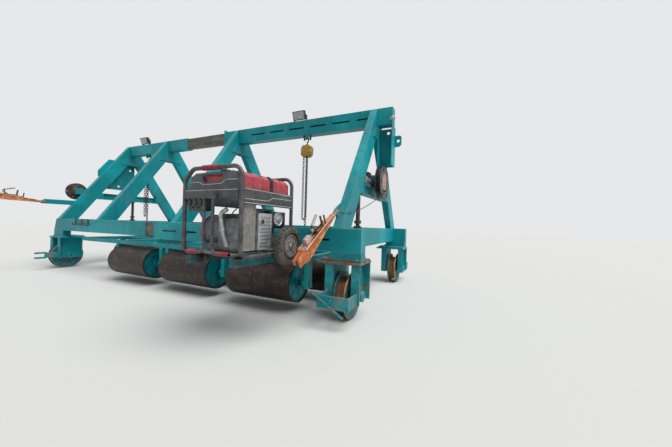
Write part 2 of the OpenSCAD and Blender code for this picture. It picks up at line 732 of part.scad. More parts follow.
// The plates around the tank: the front one has a hand slot, the side bands join the hoops
module generator_panels() {
  r = gen_pipe / 2 + 0.3;
  color(dark) {
    translate([0, gen_y + 26, 0]) rotate([90, 0, 0]) linear_extrude(18) difference() {
      polygon([[hoop[0][0] + r, band_z], [hoop[1][0] + r, hoop[1][1] - 14],
               [hoop[2][0] + 10, hoop[2][1] - r], [hoop[3][0] - 8, hoop[3][1] - r],
               [hoop[4][0] - r, hoop[4][1] - 10], [hoop[5][0] - r, band_z]]);
      polygon([[gen_x0 + 215, band_z + 145], [gen_x0 + 235, band_z + 125], [gen_x0 + 400, band_z + 125],
               [gen_x0 + 420, band_z + 145], [gen_x0 + 420, band_z + 180], [gen_x0 + 215, band_z + 180]]);
    }
    for (x = [gen_x0 + 6, gen_x - 26])
      block([x, gen_y + gen_pipe + 0.3, band_z], [x + 20, gen_y1 - gen_pipe - 0.3, band_z + 80]);
  }
}

// The sheet cover over the alternator's side, from the tray up to the side band
module generator_cover() {
  color(dark) block([gen_x - 60, gen_y + 60, gen_z + 60], [gen_x - 34, gen_y + 190, band_z + 80]);
}

// The silencer in its slotted shield, on the engine's right side
module generator_muffler() {
  y0 = gen_y + 200;
  color(silver) difference() {
    block([gen_x - 100, y0, gen_z + 60], [gen_x - 14, y0 + 160, gen_z + 347]);
    for (i = [0 : 8])
      block([gen_x - 24, y0 + 20, gen_z + 80 + i * 28], [gen_x - 13, y0 + 140, gen_z + 90 + i * 28]);
  }
}

// The folding handle, which hangs in front of the frame with its two grips below
module generator_handle() {
  x = gen_x0 + 320;
  color(dark) {
    block([x - 68, handle_y - handle_pipe / 2 - 4, band_z - 6], [x + 68, gen_y + 8, band_z + 44]);
    for (side = [-1, 1])
      pipe_run([[x + side * 45, handle_y, band_z], [x + side * 45, handle_y, gen_z + 70],
                [x + side * 75, handle_y, gen_z + 40], [x + side * 215, handle_y, gen_z + 40]], handle_pipe);
  }
}

// The engine with its alternator, on a tray in the frame's foot
module generator_engine() {
  color(silver) {
    block([gen_x0 + gen_pipe + 0.3, gen_y + 40, gen_z], [gen_x - gen_pipe - 0.3, gen_y1 - 40, gen_z + 20]);
    block([gen_x0 + 90, gen_y + 60, gen_z + 60], [gen_x - 100, gen_y1 - 60, band_z - 60]);
    for (y = [gen_y + 120, gen_y1 - 160])
      block([gen_x0 + 60, y, gen_z + 20], [gen_x - 60, y + 50, gen_z + 60]);
  }
}

// A pneumatic wheel of the generator on its stub axle
module generator_wheel() {
  rim_r = tyre_d / 2 - 50;
  color(black) rotate_extrude()
    polygon([[0, -60], [gen_axle / 2, -60], [gen_axle / 2, 16], [rim_r, 16], [rim_r, 0],
             [tyre_d / 2 - 22, 0], [tyre_d / 2, 18], [tyre_d / 2, tyre_w - 18],
             [tyre_d / 2 - 22, tyre_w], [rim_r, tyre_w], [rim_r, tyre_w - 16], [0, tyre_w - 16]]);
}

module generator_wheel_right() {
  translate([gen_x + 15, gen_wheel_y, gen_wheel_z]) rotate([0, 90, 0]) generator_wheel();
}

module generator_wheel_left() {
  translate([gen_x0 - 15, gen_wheel_y, gen_wheel_z]) rotate([0, -90, 0]) generator_wheel();
}

// A reel that takes up a cable, with its shaft, its inner side at z = 0
module reel(d) {
  r = d / 2;
  color(black) rotate_extrude($fn = 96)
    polygon([[0, 1 - reel_boss], [reel_shaft / 2, 1 - reel_boss], [reel_shaft / 2, 0],
             [r, 0], [r, 8], [r - 60, 8], [r - 60, reel_w - 8], [r, reel_w - 8], [r, reel_w],
             [0, reel_w]]);
}

module reel_right() {
  translate([outer_right_x + leg_w / 2 + reel_boss, right_reel[0], right_reel[1]]) rotate([0, 90, 0])
    reel(reel_d);
}

module reel_left() {
  translate([outer_left_x - leg_w / 2 - plate_t - reel_boss, left_reel[0], left_reel[1]]) rotate([0, -90, 0])
    reel(small_reel_d);
}

// A boss with the bearing for a reel's shaft, its foot at z = 0
module reel_boss() {
  difference() {
    cylinder(d = 2.6 * reel_shaft, h = reel_boss - 6);
    translate([0, 0, -1]) cylinder(d = reel_shaft + 2 * axle_gap, h = reel_boss);
  }
}

// The plate that reaches ahead of the left leg, with the small reel's bearing
module reel_bracket() {
  x1 = outer_left_x - leg_w / 2;
  color(teal) {
    block([x1 - plate_t, left_reel[0] - 60, left_reel[1] - 60], [x1, left_reel[0] + 240, left_reel[1] + 60]);
    translate([x1 - plate_t, left_reel[0], left_reel[1]]) rotate([0, -90, 0]) reel_boss();
  }
}

// A lever-worked cable puller, its pin at the origin and its length along -Y
module puller() {
  ear_x = plate_t / 2 + 0.3;
  rotate([0, 90, 0]) translate([0, 0, -ear_x - plate_t]) cylinder(d = puller_pin, h = 2 * (ear_x + plate_t));
  for (side = [-1, 1])
    translate([side * (ear_x + plate_t / 2), 0, 0])
      block([-plate_t / 2, -120, -25], [plate_t / 2, 25, 25]);
  block([-ear_x - plate_t, -160, -25], [ear_x + plate_t, -120, 25]);
  difference() {
    translate([-35, -160, 0]) rotate([90, 0, 90]) linear_extrude(70)
      polygon([[0, -puller_w / 3], [0, puller_w / 3], [-140, puller_w / 2],
               [-puller_l + 80, puller_w / 2], [-puller_l, puller_w / 4],
               [-puller_l, -puller_w / 4], [-puller_l + 80, -puller_w / 2], [-140, -puller_w / 2]]);
    for (side = [-1, 1], pocket = [[-300, -440], [-460, -600], [-620, -720]])
      translate([side * 35, 0, 0])
        block([-18, pocket[1], -puller_w / 2 + 16], [18, pocket[0], puller_w / 2 - 16]);
  }
}

module cable_pullers() {
  color(orange) for (place = puller_places)
    translate(place[0]) rotate([place[1], 0, 0]) puller();
}

// The plates welded to the front legs that the pullers are pinned to
module puller_lugs() {
  color(teal) for (place = puller_places) {
    pin = place[0];
    foot_z = pin[2] - place[2] / 2;
    top = pin[2] + place[2];
    difference() {
      translate([pin[0] - plate_t / 2, 0, 0]) side_plate(0, plate_t)
        polygon([[pin[1] - 30, pin[2] - 30], [pin[1] - 30, pin[2] + 25], [pin[1] + 20, pin[2] + 55],
                 [-leg_y(top), top], [-leg_y(foot_z), foot_z]]);
      translate(pin) rotate([0, 90, 0])
        cylinder(d = puller_pin + 2 * axle_gap, h = 4 * plate_t, center = true);
    }
  }
}

// The chain hoists that hang from the top beam
module chain_hoists() {
  low = under_top - hoist_drop - hoist_h;
  color(yellow) for (x = hoist_x) difference() {
    union() {
      block([x - hoist_w / 2, -60, low], [x + hoist_w / 2, 60, low + hoist_h]);
      block([x - 15, -10, low + hoist_h], [x + 15, 10, beam_under(x)]);
    }
    translate([x, 0, low - 1]) cylinder(d = chain_d + 2 * chain_gap, h = hoist_h - 20);
  }
}

// The chains that hold up the carriage's rear bar and run up into the hoists
module lifting_chains() {
  color(black) for (x = hoist_x)
    translate([x, 0, bar_top])
      cylinder(d = chain_d, h = under_top - hoist_drop - hoist_h + 70 - bar_top);
}

// Lamps that stand on the top beam and tilt down to the front
module floodlights() {
  color(black) for (x = lamp_x) {
    block([x - 116, -40, top_z], [x + 116, 40, top_z + plate_t]);
    for (side = [-1, 1])
      translate([x + side * 113, 0, top_z + plate_t]) block([-3, -25, 0], [3, 25, 90]);
    translate([x, 0, top_z + 70]) rotate([20, 0, 0])
      block([-110, -60, -30], [110, 30, 110]);
  }
}

front_arm();
front_inner();
front_sleeve();
rear_arm();
rear_inner();
rear_sleeve();
top_arm();
top_inner();
top_sleeve();
end_beams();
front_legs();
rear_legs();
leg_shoes();
apex_gussets();
cross_bars();
winch_board();
reel_post();
screw_jacks();
drive_motor();
reel_gearbox();
housing_front_left();
housing_front_right();
housing_rear_left();
housing_rear_right();
wheel_front_left();
wheel_front_right();
wheel_rear_left();
wheel_rear_right();
rail_guards();
forked_arms();
carriage_bars();
carriage_ties();
drum_hangers();
front_drum_1();
front_drum_2();
front_drum_3();
second_drum_1();
second_drum_2();
second_drum_3();
second_drum_4();
generator_deck();
generator_frame();
generator_tank();
generator_panels();
generator_cover();
generator_muffler();
generator_handle();
generator_engine();
generator_wheel_left();
generator_wheel_right();
reel_left();
reel_right();
reel_bracket();
cable_pullers();
puller_lugs();
chain_hoists();
lifting_chains();
floodlights();
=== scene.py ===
import math

import bmesh
import bpy
from mathutils import Matrix, Vector


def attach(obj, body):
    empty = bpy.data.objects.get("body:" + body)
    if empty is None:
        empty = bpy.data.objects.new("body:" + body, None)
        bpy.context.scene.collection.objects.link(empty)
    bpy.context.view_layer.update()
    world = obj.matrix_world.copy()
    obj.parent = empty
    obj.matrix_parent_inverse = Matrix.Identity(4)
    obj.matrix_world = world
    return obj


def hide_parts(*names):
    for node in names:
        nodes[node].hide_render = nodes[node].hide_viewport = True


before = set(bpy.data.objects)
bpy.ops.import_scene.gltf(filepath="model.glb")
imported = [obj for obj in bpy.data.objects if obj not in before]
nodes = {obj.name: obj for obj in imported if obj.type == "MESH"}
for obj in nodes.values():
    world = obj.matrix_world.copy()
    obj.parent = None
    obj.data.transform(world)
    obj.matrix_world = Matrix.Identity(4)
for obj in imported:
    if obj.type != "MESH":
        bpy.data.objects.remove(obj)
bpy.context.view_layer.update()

# The camera stands beside the machine's front right corner at eye level with a
# wide lens. Its place, turn and lens were fitted to the straight beams.
CAMERA_PLACE = Vector((4.046, -3.782, 0.981))
CAMERA_TURN_LEFT = math.radians(24.544)
CAMERA_TILT_UP = math.radians(0.222)
CAMERA_ROLL = math.radians(1.669)
CAMERA_LENS_MM = 14.607
CAMERA_SENSOR_MM = 36.0
VIEW_NEAR, VIEW_FAR = 0.02, 200.0

camera_data = bpy.data.cameras.new("camera")
camera_data.lens = CAMERA_LENS_MM
camera_data.sensor_width = CAMERA_SENSOR_MM
camera_data.sensor_fit = "HORIZONTAL"
camera_data.clip_start = VIEW_NEAR
camera_data.clip_end = VIEW_FAR
camera = bpy.data.objects.new("camera", camera_data)
bpy.context.scene.collection.objects.link(camera)
heading = Matrix.Rotation(CAMERA_TURN_LEFT, 4, "Z")
tilt = Matrix.Rotation(math.pi / 2 + CAMERA_TILT_UP, 4, "X")
roll = Matrix.Rotation(CAMERA_ROLL, 4, "Z")
camera.matrix_world = Matrix.Translation(CAMERA_PLACE) @ heading @ tilt @ roll
bpy.context.scene.camera = camera

# An overcast studio: a pale floor that runs far past the machine, an even pale
# sky and one very soft lamp from above and the right.
FLOOR_COLOUR = "#D4D4D2"
FLOOR_WIDTH = 120.0
SKY_COLOUR = "#E6E8EA"
SKY_LIGHT = 0.38
SKY_SEEN = 1.0
LAMP_POWER = 3.1
LAMP_FROM = (0.6, -0.15, 1.1)
LAMP_SPREAD = math.radians(50)


def colour(code):
    """The linear colour of an sRGB hex code."""
    parts = [int(code[i:i + 2], 16) / 255 for i in (1, 3, 5)]
    return [p / 12.92 if p <= 0.04045 else ((p + 0.055) / 1.055) ** 2.4 for p in parts] + [1.0]


def add(tree, kind, inputs=None, **settings):
    """Adds a node with its settings. An input is a value or the socket that feeds it."""
    node = tree.nodes.new(kind)
    for name, value in settings.items():
        setattr(node, name, value)
    for name, value in (inputs or {}).items():
        if isinstance(value, bpy.types.NodeSocket):
            tree.links.new(value, node.inputs[name])
        else:
            node.inputs[name].default_value = value
    return node


def finish(name, rough, metal=0.0, **even):
    """A material with its even values set, with its tree, its shader and the object's coordinates."""
    material = bpy.data.materials.new(name)
    material.use_nodes = True
    tree = material.node_tree
    shader = tree.nodes["Principled BSDF"]
    shader.inputs["Roughness"].default_value = rough
    shader.inputs["Metallic"].default_value = metal
    for socket, value in even.items():
        shader.inputs[socket.replace("_", " ")].default_value = value
    return material, tree, shader, add(tree, "ShaderNodeTexCoord").outputs["Object"]


def begin(kind, **shape):
    """Adds a primitive with nothing else selected, and puts its place and turn into its mesh."""
    bpy.ops.object.select_all(action="DESELECT")
    getattr(bpy.ops.mesh, "primitive_%s_add" % kind)(**shape)
    bpy.ops.object.transform_apply(location=True, rotation=True, scale=True)
    return bpy.context.object


# The floor is board painted in matt emulsion, rolled on evenly, so it shows no gloss.
pale_floor, tree, shader, place = finish("pale_floor", 0.9)
shader.inputs["Base Color"].default_value = colour(FLOOR_COLOUR)
floor = begin("plane", size=FLOOR_WIDTH)
floor.name = "floor"
floor.data.materials.append(pale_floor)

world = bpy.data.worlds.new("overcast_studio")
bpy.context.scene.world = world
world.use_nodes = True
sky = world.node_tree
ray = add(sky, "ShaderNodeLightPath")
through = add(sky, "ShaderNodeMath",
              {0: ray.outputs["Is Camera Ray"], 1: ray.outputs["Is Transmission Ray"]})
seen = add(sky, "ShaderNodeMath", {0: through.outputs[0], 1: ray.outputs["Is Glossy Ray"]})
strength = add(sky, "ShaderNodeMapRange", {0: seen.outputs[0], 3: SKY_LIGHT, 4: SKY_SEEN})
sky.nodes["Background"].inputs["Color"].default_value = colour(SKY_COLOUR)
sky.links.new(strength.outputs[0], sky.nodes["Background"].inputs["Strength"])

lamp_data = bpy.data.lights.new("soft_lamp", "SUN")
lamp_data.energy = LAMP_POWER
lamp_data.angle = LAMP_SPREAD
lamp = bpy.data.objects.new("soft_lamp", lamp_data)
lamp.rotation_euler = Vector(LAMP_FROM).to_track_quat("Z", "Y").to_euler()
bpy.context.scene.collection.objects.link(lamp)
bpy.context.scene.view_settings.view_transform = "Standard"

# The frame is welded from box beams and plates and sprayed with turquoise enamel,
# which has faded in patches, gathered dust on top and chipped to rust at knocks. Its
# edges are laid in pale cyan: partly rubbed enamel and partly a painted highlight.
ENAMEL = "#008088"
ENAMEL_FADED = "#009CA4"
ENAMEL_SHADE = "#006068"
ENAMEL_RUBBED_AND_LIT = "#6CC9C5"
ROAD_DUST = "#93A09A"
CHIP_RUST = "#6B4632"


def patches(tree, place, size, low, high, stretch=(1, 1, 1), strength=1.0, within=None):
    """Patches about size metres wide, 0 below low and up to strength above high, within a mask."""
    moved = add(tree, "ShaderNodeMapping", {"Vector": place, "Scale": stretch})
    pattern = add(tree, "ShaderNodeTexNoise",
                  {"Vector": moved.outputs[0], "Scale": 1.0 / size, "Detail": 4.0})
    cut = add(tree, "ShaderNodeMapRange", {0: pattern.outputs[0], 1: low, 2: high, 4: strength},
              interpolation_type="SMOOTHSTEP")
    if within is None:
        return cut.outputs[0]
    return add(tree, "ShaderNodeMath", {0: cut.outputs[0], 1: within}, operation="MULTIPLY").outputs[0]


def coats(tree, base, *layers):
    """The base colour under layers of mask and colour, each laid over the last."""
    tone = colour(base)
    for mask, over in layers:
        over = over if isinstance(over, bpy.types.NodeSocket) else colour(over)
        tone = add(tree, "ShaderNodeMix", {0: mask, 6: tone, 7: over}, data_type="RGBA").outputs[2]
    return tone


def ramp(tree, value, low, high, strength=1.0):
    """The value run from 0 at low to strength at high, where low may be the larger."""
    return add(tree, "ShaderNodeMapRange", {0: value, 1: low, 2: high, 4: strength}).outputs[0]


def upward(tree):
    """1 on faces that look up and 0 on upright ones."""
    normal = add(tree, "ShaderNodeNewGeometry").outputs["Normal"]
    return ramp(tree, add(tree, "ShaderNodeSeparateXYZ", {0: normal}).outputs[2], 0.3, 1.0)


def sharp_edges(tree, radius):
    """1 along sharp edges, where a rounded normal leaves the flat one."""
    flat = add(tree, "ShaderNodeNewGeometry").outputs["Normal"]
    edge = add(tree, "ShaderNodeBevel", {"Radius": radius}, samples=4).outputs[0]
    along = add(tree, "ShaderNodeVectorMath", {0: flat, 1: edge}, operation="DOT_PRODUCT")
    return ramp(tree, along.outputs["Value"], 0.97, 0.75)


def surface(tree, shader, tone, height, depth, soft_edge=0.0):
    """Joins a colour and bumps of that depth in metres to the shader, with the edges rounded."""
    tree.links.new(tone, shader.inputs["Base Color"])
    bump = add(tree, "ShaderNodeBump", {"Height": height, "Strength": 1.0, "Distance": depth})
    if soft_edge:
        edge = add(tree, "ShaderNodeBevel", {"Radius": soft_edge}, samples=4)
        tree.links.new(edge.outputs[0], bump.inputs["Normal"])
    tree.links.new(bump.outputs[0], shader.inputs["Normal"])


def paint(material, *names):
    """Gives CAD nodes a finish."""
    for name in names:
        for spot in nodes[name].material_slots:
            spot.material = material


# Sprayed enamel is semi-gloss with slight orange peel, 12 mm wide here so that it shows.
# Faded patches are 0.5 m wide, runs 50 mm, and chips of 6 to 20 mm are drawn a little large.
teal_enamel, tree, shader, place = finish("sprayed_turquoise_enamel", 0.45, Specular_IOR_Level=0.3)
top_dust = patches(tree, place, 0.12, 0.34, 0.7, strength=0.4, within=upward(tree))
# Pale cyan along the sharp edges: rubbed enamel, and a painted highlight on the edges.
edge_wear_and_highlight = patches(tree, place, 0.06, 0.34, 0.56, strength=0.75, within=sharp_edges(tree, 0.006))
chips = patches(tree, place, 0.022, 0.64, 0.67, within=patches(tree, place, 0.3, 0.48, 0.6))
tone = coats(tree, ENAMEL,
             (patches(tree, place, 0.55, 0.38, 0.66), ENAMEL_FADED),
             (patches(tree, place, 0.05, 0.55, 0.72, (1, 1, 0.12), 0.45), ENAMEL_SHADE),
             (patches(tree, place, 0.20, 0.52, 0.74, (1, 1, 0.4), 0.10), ROAD_DUST),
             (top_dust, ROAD_DUST), (edge_wear_and_highlight, ENAMEL_RUBBED_AND_LIT), (chips, CHIP_RUST))
surface(tree, shader, tone, patches(tree, place, 0.012, 0.2, 0.8), 0.0004, 0.005)
paint(teal_enamel, "front_arm", "rear_arm", "top_arm", "front_sleeve", "rear_sleeve", "top_sleeve",
      "end_beams", "front_legs", "rear_legs", "leg_shoes", "apex_gussets", "cross_bars", "winch_board",
      "reel_post", "housing_front_left", "housing_rear_left", "housing_rear_right", "carriage_bars",
      "carriage_ties", "drum_hangers", "reel_bracket", "puller_lugs", "reel_gearbox")

# The sliding beams are bare rolled steel, so that paint doesn't jam them. They have
# mill scale, a grey-brown film of dust, long scratches and flecks of overspray.
rolled_steel, tree, shader, place = finish("rolled_steel_with_scale", 0.5, 0.5)
tone = coats(tree, "#4B4A44",
             (patches(tree, place, 0.2, 0.35, 0.65), "#625F55"),
             (patches(tree, place, 0.03, 0.5, 0.7, (0.06, 1, 1), 0.6), "#85827A"),
             (patches(tree, place, 0.08, 0.62, 0.72), "#6A4A35"),
             (patches(tree, place, 0.05, 0.66, 0.70), ENAMEL_FADED))
surface(tree, shader, tone, patches(tree, place, 0.01, 0.2, 0.8), 0.0006, 0.004)
paint(rolled_steel, "front_inner", "rear_inner", "top_inner")

# The collars around the beams' mouths are held by zinc-plated hex bolts on washers,
# screwed in from the open side, four to a collar.
COLLAR_BOLT_R = 0.0084
SLEEVE_COLLAR = dict(x=-0.084, out=-1, z=0.820, half_y=0.050, half_z=0.108)
ARM_COLLAR = dict(x=-0.305, out=1, z=0.830, half_y=0.054, half_z=0.103)
COLLAR_YS = (1.162, -1.162)


def pick(piece, test):
    """Opens the piece in edit mode with the faces selected whose middle and normal pass a test."""
    bpy.ops.object.mode_set(mode="EDIT")
    bpy.ops.mesh.select_mode(type="FACE")
    bpy.ops.mesh.select_all(action="DESELECT")
    mesh = bmesh.from_edit_mesh(piece.data)
    for face in mesh.faces:
        face.select_set(test(face.calc_center_median(), face.normal))
    bmesh.update_edit_mesh(piece.data)


def facing(x, y, z, both=False):
    """The test for faces that look one way, or also the opposite way."""
    way = Vector((x, y, z))
    return lambda middle, normal: (abs(normal.dot(way)) if both else normal.dot(way)) > 0.9


def inset(piece, test, *steps):
    """Insets faces once for each pair of thickness and depth, which makes rims and hollows."""
    pick(piece, test)
    for thickness, depth in steps:
        bpy.ops.mesh.inset(thickness=thickness, depth=depth)
    bpy.ops.object.mode_set(mode="OBJECT")
    return piece


def slab(low, high):
    """A block between two corners, to be shaped further."""
    low, high = Vector(low), Vector(high)
    return begin("cube", size=1.0, location=(low + high) / 2, scale=high - low)


def bar(start, end, radius, sides=24):
    """A round bar between two points, to be shaped further."""
    start, end = Vector(start), Vector(end)
    turn = (end - start).to_track_quat("Z", "Y").to_euler()
    return begin("cylinder", vertices=sides, radius=radius, depth=(end - start).length,
                 location=(start + end) / 2, rotation=turn)


def join(*pieces):
    """Joins pieces into the first one."""
    bpy.ops.object.select_all(action="DESELECT")
    for piece in pieces:
        piece.select_set(True)
    bpy.context.view_layer.objects.active = pieces[0]
    if len(pieces) > 1:
        bpy.ops.object.join()
    return pieces[0]


def seat(point, out=(0, 0, 1)):
    """The matrix that puts a piece modelled at the origin at a point, its top facing out."""
    return Matrix.Translation(point) @ Vector(out).to_track_quat("Z", "Y").to_matrix().to_4x4()


def repeat(pattern, seats):
    """Copies of a pattern piece, each with its own mesh, at a list of seats, joined. The pattern goes."""
    copies = []
    for matrix in seats:
        copy = pattern.copy()
        copy.data = pattern.data.copy()
        copy.data.transform(matrix)
        bpy.context.scene.collection.objects.link(copy)
        copies.append(copy)
    bpy.data.objects.remove(pattern)
    return join(*copies)


def complete(piece, name, material, body, edge=0.0, rounds=2):
    """Rounds and shades the edges and gives the piece its name, finish, body and material slot."""
    join(piece)
    if edge:
        bevel = piece.modifiers.new("edge", "BEVEL")
        bevel.width = edge
        bevel.segments = rounds
        bevel.angle_limit = math.radians(40)
        bpy.ops.object.modifier_apply(modifier=bevel.name)
    bpy.ops.object.shade_smooth_by_angle(angle=math.radians(40))
    piece.name = name
    piece.data.name = name
    piece.data.materials.clear()
    piece.data.materials.append(material)
    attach(piece, body)
    return piece


def hex_bolt(radius):
    """A hex bolt's head on its washer, at the origin with its head up."""
    washer = bar((0, 0, 0), (0, 0, 0.25 * radius), 1.55 * radius)
    head = bar((0, 0, 0.25 * radius), (0, 0, 1.4 * radius), radius, 6)
    inset(head, facing(0, 0, 1), (0.16 * radius, 0.14 * radius))
    return join(washer, head)


# Zinc plate over turned steel: a dull silver that has clouded in the wet, with specks of
# rust where the plate wore through.
zinc_plate, tree, shader, place = finish("zinc_plated_bolts", 0.42, 0.8)
tone = coats(tree, "#8C8E8C", (patches(tree, place, 0.02, 0.4, 0.6), "#A7A9A5"),
             (patches(tree, place, 0.012, 0.6, 0.68), "#7A5A42"))
surface(tree, shader, tone, patches(tree, place, 0.004, 0.2, 0.8), 0.0002)
bolts = [seat((collar["x"], y + dy, collar["z"] + dz), (collar["out"], 0, 0))
         for y in COLLAR_YS for collar in (SLEEVE_COLLAR, ARM_COLLAR)
         for dy in (-collar["half_y"], collar["half_y"]) for dz in (-collar["half_z"], collar["half_z"])]
complete(repeat(hex_bolt(COLLAR_BOLT_R), bolts), "collar_bolts", zinc_plate, "gantry", 0.0006)

# Cast steel rail wheels with turned treads. Their webs were sprayed with the frame, the
# rail rubs the treads and flange edges, and what is bare rusts, deepest in the corners.
WHEEL_AXIS = (2.98, 1.10, 0.245)
WHEEL_HUB_R = 0.08
FLANGE_RUB = (0.226, 0.242)


def from_axis(tree, place, axis, mirrored=False):
    """The distance from an axis along X through a point, on both sides of the middle if mirrored."""
    if mirrored:
        place = add(tree, "ShaderNodeVectorMath", {0: place}, operation="ABSOLUTE").outputs[0]
    away = add(tree, "ShaderNodeVectorMath", {0: place, 1: axis}, operation="SUBTRACT")
    flat = add(tree, "ShaderNodeVectorMath", {0: away.outputs[0], 1: (0, 1, 1)}, operation="MULTIPLY")
    return add(tree, "ShaderNodeVectorMath", {0: flat.outputs[0]}, operation="LENGTH").outputs["Value"]


# Cast steel is rough from the sand and rusts in red-brown patches of 20 to 100 mm, while
# the enamel on the webs stays smooth between its chips.
wheel_steel, tree, shader, place = finish("rusted_cast_steel", 0.6, 0.35)
normal = add(tree, "ShaderNodeNewGeometry").outputs["Normal"]
turned = add(tree, "ShaderNodeVectorMath", {0: normal}, operation="ABSOLUTE").outputs[0]
web = ramp(tree, add(tree, "ShaderNodeSeparateXYZ", {0: turned}).outputs[0], 0.75, 0.9)
enamel_web = coats(tree, ENAMEL, (patches(tree, place, 0.1, 0.4, 0.65), ENAMEL_SHADE),
                   (patches(tree, place, 0.03, 0.5, 0.66), CHIP_RUST))
radius = from_axis(tree, place, WHEEL_AXIS, mirrored=True)
rim_rub = patches(tree, place, 0.03, 0.35, 0.6, strength=0.8, within=ramp(tree, radius, *FLANGE_RUB))
near_hub = ramp(tree, radius, WHEEL_HUB_R + 0.03, WHEEL_HUB_R)
hub_grease = patches(tree, place, 0.03, 0.45, 0.6, within=near_hub)
tone = coats(tree, "#76492F",
             (patches(tree, place, 0.05, 0.35, 0.65), "#96603D"),
             (patches(tree, place, 0.02, 0.52, 0.68, strength=0.8), "#4E3024"),
             (patches(tree, place, 0.1, 0.5, 0.7, strength=0.5), "#A98359"),
             (rim_rub, "#BE955F"), (web, enamel_web), (hub_grease, "#5B4034"))
surface(tree, shader, tone, patches(tree, place, 0.006, 0.2, 0.8), 0.0012, 0.003)
paint(wheel_steel, "wheel_front_left", "wheel_front_right", "wheel_rear_left", "wheel_rear_right")

# Rolled drums of steel plate with welded end discs. The shell is polished dark by the
# asphalt and carries a film of tar in rings, and the discs keep their enamel, darkened
# towards the shell as painted shade in the corner where disc and shell meet.
FRONT_ROW = (0.0, -1.162, 0.323)
SECOND_ROW = (0.0, -0.547, 0.323)
SHELL_INSIDE = 0.2095
drum_steel, tree, shader, place = finish("tarred_rolled_steel", 0.42, 0.6)
near = [from_axis(tree, place, row) for row in (FRONT_ROW, SECOND_ROW)]
radius = add(tree, "ShaderNodeMath", {0: near[0], 1: near[1]}, operation="MINIMUM").outputs[0]
disc = ramp(tree, radius, SHELL_INSIDE + 0.001, SHELL_INSIDE - 0.001)
# The disc's enamel darkens towards the shell: painted shade in the corner of its recess.
enamel_disc = coats(tree, ENAMEL, (patches(tree, place, 0.12, 0.4, 0.65), ENAMEL_SHADE),
                    (patches(tree, place, 0.03, 0.58, 0.68), "#3B2E29"),
                    (ramp(tree, radius, 0.17, 0.21, 0.6), "#33302C"))
tone = coats(tree, "#2F2724",
             (patches(tree, place, 0.06, 0.4, 0.7, (0.3, 1, 1)), "#473832"),
             (patches(tree, place, 0.012, 0.5, 0.62, (1, 0.1, 0.1), 0.8), "#1B1716"),
             (patches(tree, place, 0.15, 0.6, 0.7, strength=0.5), "#6A5445"),
             (patches(tree, place, 0.02, 0.64, 0.7, strength=0.8), "#7D7468"),
             (disc, enamel_disc))
surface(tree, shader, tone, patches(tree, place, 0.012, 0.2, 0.8, (1, 0.4, 0.4)), 0.0012, 0.003)
paint(drum_steel, *[name for name in nodes if name.startswith(("front_drum_", "second_drum_"))])

# The deck under the generator has the same enamel in its darker tone, matt, with patches
# of oil and exhaust and rust along its edges.
oily_enamel, tree, shader, place = finish("oily_turquoise_enamel", 0.5, Specular_IOR_Level=0.3)
edge_rust = patches(tree, place, 0.03, 0.3, 0.6, strength=0.8, within=sharp_edges(tree, 0.005))
tone = coats(tree, ENAMEL_SHADE,
             (patches(tree, place, 0.12, 0.4, 0.65), "#0B6E70"),
             (patches(tree, place, 0.07, 0.42, 0.62, strength=0.85), "#3A342E"),
             (edge_rust, "#7A4A34"),
             (patches(tree, place, 0.022, 0.6, 0.66), CHIP_RUST))
surface(tree, shader, tone, patches(tree, place, 0.01, 0.2, 0.8), 0.0006, 0.003)
paint(oily_enamel, "generator_deck")

# The front right housing and the guards take the knocks. Their enamel is worn through
# to rust along the housing's top plates, and mud and asphalt cling to the lower parts.
PLATE_Z = 0.603
BAND_BOTTOM = (-0.05, -0.01)
BAND_TOP = (0.632, 0.620)
MUD_REACH = (0.62, 0.2)
knocked_enamel, tree, shader, place = finish("knocked_turquoise_enamel", 0.55, Specular_IOR_Level=0.3)
height = add(tree, "ShaderNodeSeparateXYZ", {0: place}).outputs[2]
over_plates = add(tree, "ShaderNodeMath", {0: height, 1: -PLATE_Z}, operation="ADD").outputs[0]
band = add(tree, "ShaderNodeMath",
           {0: ramp(tree, over_plates, *BAND_BOTTOM), 1: ramp(tree, height, *BAND_TOP)},
           operation="MULTIPLY").outputs[0]
mud = patches(tree, place, 0.09, 0.46, 0.62, strength=0.8, within=ramp(tree, height, *MUD_REACH))
bare_edges = patches(tree, place, 0.03, 0.3, 0.6, strength=0.9, within=sharp_edges(tree, 0.006))
tone = coats(tree, ENAMEL,
             (patches(tree, place, 0.25, 0.38, 0.66), ENAMEL_FADED),
             (patches(tree, place, 0.05, 0.5, 0.7, strength=0.6), ENAMEL_SHADE),
             (mud, "#7D7362"), (bare_edges, "#C9B496"),
             (patches(tree, place, 0.07, 0.30, 0.55, within=band), "#7A4A30"),
             (patches(tree, place, 0.022, 0.60, 0.66), CHIP_RUST))
surface(tree, shader, tone, patches(tree, place, 0.01, 0.2, 0.8), 0.0008, 0.004)
paint(knocked_enamel, "housing_front_right", "rail_guards", "forked_arms")

# The smaller parts share one way of wearing: lighter and darker patches, edges rubbed to
# the lighter tone, road dust on top and specks of grime, over the grain of the surface.


def weathered(name, base, lighter, darker, grime, rough, metal=0.0, grain=0.006, depth=0.0003):
    """A finish with lighter and darker patches, rubbed edges, grime and the grain of its surface."""
    material, tree, shader, place = finish(name, rough, metal)
    edges = patches(tree, place, 0.03, 0.34, 0.62, strength=0.7, within=sharp_edges(tree, 0.003))
    dust = patches(tree, place, 0.06, 0.4, 0.7, strength=0.5, within=upward(tree))
    tone = coats(tree, base,
                 (patches(tree, place, 0.09, 0.42, 0.68), lighter),
                 (patches(tree, place, 0.025, 0.5, 0.7, strength=0.7), darker),
                 (edges, lighter), (dust, ROAD_DUST),
                 (patches(tree, place, 0.015, 0.62, 0.68, strength=0.8), grime))
    surface(tree, shader, tone, patches(tree, place, grain, 0.2, 0.8), depth, 0.002)
    return material


# Matt black paint over steel, brushed on, and greasy where a hand or a chain runs.
black_paint = weathered("matt_black_paint", "#232426", "#3C3D3E", "#141414", "#6A4A36", 0.5)
paint(black_paint, "screw_jacks", "floodlights", "lifting_chains")

